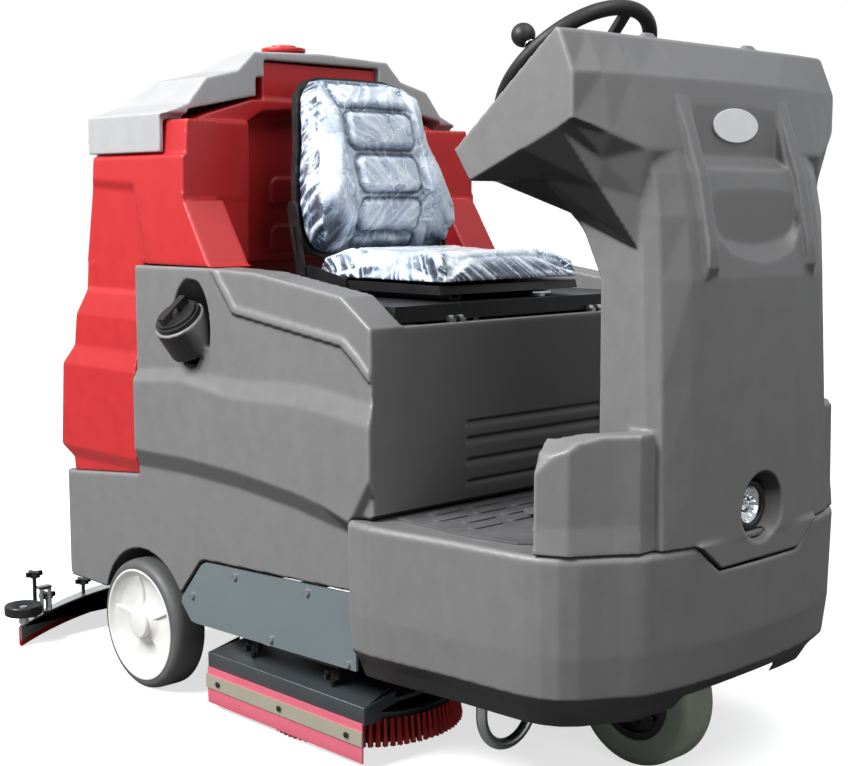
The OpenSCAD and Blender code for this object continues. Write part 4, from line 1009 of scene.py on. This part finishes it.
def deck_piece():
    """Slate-painted cover whose folded edges get bright bare steel, a painted highlight; faces near the middle above
    140 mm are steel as well.
    """
    o = cad_copy("brush_deck", True)
    m = o.modifiers.new("b", "BEVEL")
    m.width = 0.0026
    m.segments = 2
    m.limit_method = "ANGLE"
    m.angle_limit = math.radians(20)
    o.data.materials.clear()
    o.data.materials.append(M["deck"])
    o.data.materials.append(M["steel"])
    for p in o.data.polygons:
        p.material_index = 0
    m.material = 1
    baked(o)
    # the steel bevels on the folded edges at the ends stand in for the bright fold line: a painted highlight
    for p in o.data.polygons:
        if p.material_index == 1 and not (abs(p.center.x) > 0.438 and p.center.z > 0.118):
            p.material_index = 0
        if abs(p.center.x) < 0.14 and p.center.z > 0.14:
            p.material_index = 1
    shade(o, 38)
    return put(o, "brush_deck")


deck_piece()

# headlight: funnel ring, faceted reflector, bulb and a clear cover
HO, HA = L(0, -262, 556), (0, -1, 0)
put(lathe("headlight_bezel_round", rounded([(35.9, -44), (35.9, -23), (38.5, -21.9), (44.8, -21.9), (45.2, -24), (36.4, -61.0), (0.2, -61.0), (0.2, -44.2), (35.4, -44.2)], 1.2, 3), M["black"], HO, HA, 96), "headlight_bezel")


def facets(r, h, a, j):
    k = 0.5 + 0.5 * math.cos(14 * a)
    return r, h + (0.0016 * k if 0.010 < r < 0.031 and h > -0.0405 else 0)


refl = lathe("reflector", rounded([(0.2, -43.4), (35.3, -43.4), (35.3, -29.2), (33.4, -28.6), (31.5, -30.5), (27, -34.5), (20, -37.8), (11, -39.4), (0.2, -39.6)], 0.8, 2), M["chrome"], HO, HA, 168, wobble=facets)
bulb = lathe("bulb", rounded([(0.2, -39.8), (9.5, -39.8), (9.5, -36), (7, -34), (7, -31), (4.5, -28.6), (0.2, -28.2)], 1.4, 4), M["lens"], HO, HA, 48)
ring = lathe("ring", rounded([(12, -39.6), (15, -39.6), (15, -35.5), (12, -35.5)], 0.8, 2), M["black"], HO, HA, 64)
cover = lathe("cover", [(35.2, -28.4), (33.5, -26.6), (29, -25.0), (20, -24.4), (0.2, -24.1), (0.2, -25.3), (20, -25.6), (28.6, -26.2), (32.8, -27.8), (34.0, -28.4)], M["lens"], HO, HA, 96, ang=60)
put(blob("headlight_lens_parts", [refl, bulb, ring, cover]), "headlight_lens")

# drain hose: smooth ribbed tube held by two clips, with a screw cap
HR = [(-330, 1450.4, 262), (-330, 1466, 262), (-330, 1484, 270), (-330, 1494, 290), (-330, 1498, 330), (-331, 1500, 400), (-333, 1501, 480),
      (-336, 1502, 600), (-337, 1501, 660), (-338, 1496, 740), (-338, 1478, 840), (-339, 1455, 925), (-340, 1439, 983), (-341, 1430, 1030)]


def spline(P, step):
    P = [np.array(p, float) for p in P]
    Q = [2 * P[0] - P[1]] + P + [2 * P[-1] - P[-2]]
    out = []
    for i in range(1, len(Q) - 2):
        a, b, c, d = Q[i - 1:i + 3]
        n = max(2, int(np.linalg.norm(c - b) / step))
        for k in range(n):
            t = k / n
            out.append(0.5 * ((2 * b) + (c - a) * t + (2 * a - 5 * b + 4 * c - d) * t * t + (3 * b - a - 3 * c + d) * t ** 3))
    out.append(P[-1])
    return out


hp = spline(HR, 3.0)
hose = tube("hose", [L(*p) for p in hp], [0.0155 + 0.0005 * (i % 2) for i in range(len(hp))], M["hose"], 24)
cap_ = lathe("cap", rounded([(0.2, 1024), (19, 1024), (20, 1026), (20, 1050), (18, 1052), (12, 1053), (11.5, 1059), (9, 1060), (0.2, 1060)], 1.5, 3), M["black"], L(-341, 1429.5, 0), (0, 0, 1), 64,
             wobble=lambda r, h, a, j: (r + (0.0006 * math.cos(24 * a) - 0.0006 if r > 0.019 else 0), h), ang=60)
bits = [hose, cap_]
for r0, r1, z0, z1, cx, cy, bx in ((19.5, 24, 975, 991, -340, 1439, (-344, 1374.8, -336, 1421)), (17.5, 22, 632, 648, -337, 1501.5, (-343, 1471, -331, 1482))):
    bits.append(lathe("clip", rounded([(r0, z0), (r1, z0), (r1, z1), (r0, z1)], 1, 2), M["steel"], L(cx, cy, 0), (0, 0, 1), 64))
    q0, q1 = L(bx[0], bx[1], 0), L(bx[2], bx[3], 0)
    bits.append(prism("arm", [(q0.x, q0.y), (q1.x, q0.y), (q1.x, q1.y), (q0.x, q1.y)], z0 / 1000, z1 / 1000, M["steel"]))
put(blob("drain_hose_ribbed", bits), "drain_hose")

# spinner knob: ball with a parting seam on a turned neck
ST, SD, GD, SH = 43, 372, 30, 165
KT = Matrix.Translation(L(0, 84, 1247)) @ Matrix.Rotation(math.radians(-ST), 4, "X") @ Matrix.Rotation(math.radians(196), 4, "Z") @ Matrix.Translation(((SD - GD) / 2000, 0, (SH + GD / 2) / 1000))
ball = [(0.2, 2.7)] + [(23.4 * math.cos(t), 26 + 23.4 * math.sin(t)) for t in np.linspace(-1.5, 1.5, 60)] + [(0.2, 49.4)]
ball = [(r - 0.5 * math.exp(-((h - 26) / 0.7) ** 2), h) for r, h in ball]
kn = lathe("ball", ball, M["black_soft"], KT.translation, KT.to_3x3() @ Vector((0, 0, 1)), 96, ang=80)
neck = lathe("neck", rounded([(0.2, 0.5), (11, 0.5), (11, 3), (8.5, 5), (8.5, 8), (9.5, 10), (0.2, 10)], 0.8, 3), M["steel"], KT.translation, KT.to_3x3() @ Vector((0, 0, 1)), 64)
put(blob("spinner_knob_turned", [kn, neck]), "spinner_knob")

# ------------------------------------------------------------------ floor, light
def floor_material():
    """Pale studio floor: bright to the camera, and it throws little light back up."""
    m, nt, b = new_mat("floor_pale")
    co = obj_coord(nt)
    n1 = noise_node(nt, 1.4, 4, 0.5, co)
    lp = nt.nodes.new("ShaderNodeLightPath")
    base = mix_col(nt, n1.outputs["Fac"], (0.80, 0.80, 0.80), (0.84, 0.84, 0.84))
    dim = mix_col(nt, lp.outputs["Is Camera Ray"], (0.16, 0.16, 0.16), base)
    lk(nt, dim, b.inputs["Base Color"])
    b.inputs["Roughness"].default_value = 0.7
    b.inputs["Specular IOR Level"].default_value = 0.1
    b.inputs["Emission Color"].default_value = (1, 1, 1, 1)
    ln = nt.nodes.new("ShaderNodeVectorMath")
    ln.operation = "LENGTH"
    lk(nt, co, ln.inputs[0])
    far = math_node(nt, "MULTIPLY", math_node(nt, "SUBTRACT", ln.outputs["Value"], 1.6), 0.16, True)
    em = math_node(nt, "ADD", math_node(nt, "MULTIPLY", far, 0.32), 0.68)
    lk(nt, math_node(nt, "MULTIPLY", lp.outputs["Is Camera Ray"], em), b.inputs["Emission Strength"])
    return m


me = bpy.data.meshes.new("floor")
me.from_pydata([(-60, -60, 0), (60, -60, 0), (60, 60, 0), (-60, 60, 0)], [], [(0, 1, 2, 3)])
floor = add_obj("floor", me)
set_mat(floor, floor_material())

world = bpy.data.worlds.new("studio")
scene.world = world
world.use_nodes = True
wn = world.node_tree
bg = wn.nodes["Background"]
lpw = wn.nodes.new("ShaderNodeLightPath")
wn.links.new(mix_col(wn, lpw.outputs["Is Camera Ray"], (0.94, 0.97, 1.0), (1.0, 1.0, 1.0)), bg.inputs["Color"])
st_ = math_node(wn, "ADD", math_node(wn, "MULTIPLY", lpw.outputs["Is Camera Ray"], 0.82), 0.19)
wn.links.new(math_node(wn, "ADD", math_node(wn, "MULTIPLY", lpw.outputs["Is Glossy Ray"], 0.5), st_), bg.inputs["Strength"])


def area(name, loc, target, size, power, col=(1, 1, 1)):
    l = bpy.data.lights.new(name, "AREA")
    l.shape = "RECTANGLE"
    l.size, l.size_y = size
    l.energy = power
    l.color = col
    o = bpy.data.objects.new(name, l)
    scene.collection.objects.link(o)
    o.location = loc
    d = Vector(target) - Vector(loc)
    o.rotation_euler = d.to_track_quat("-Z", "Y").to_euler()
    return o


area("key", (-4.5, 0.9, 4.6), (0, 0, 0.6), (2.6, 2.6), 620)
area("top", (0.3, -2.6, 4.6), (0, -0.3, 0.9), (2.6, 2.6), 105)
area("front", (-1.4, -5.5, 2.0), (0, -0.4, 0.7), (3.0, 2.4), 42)
scene.view_settings.view_transform = "Standard"
scene.view_settings.look = "None"

# ------------------------------------------------------------------ end
bpy.context.view_layer.update()
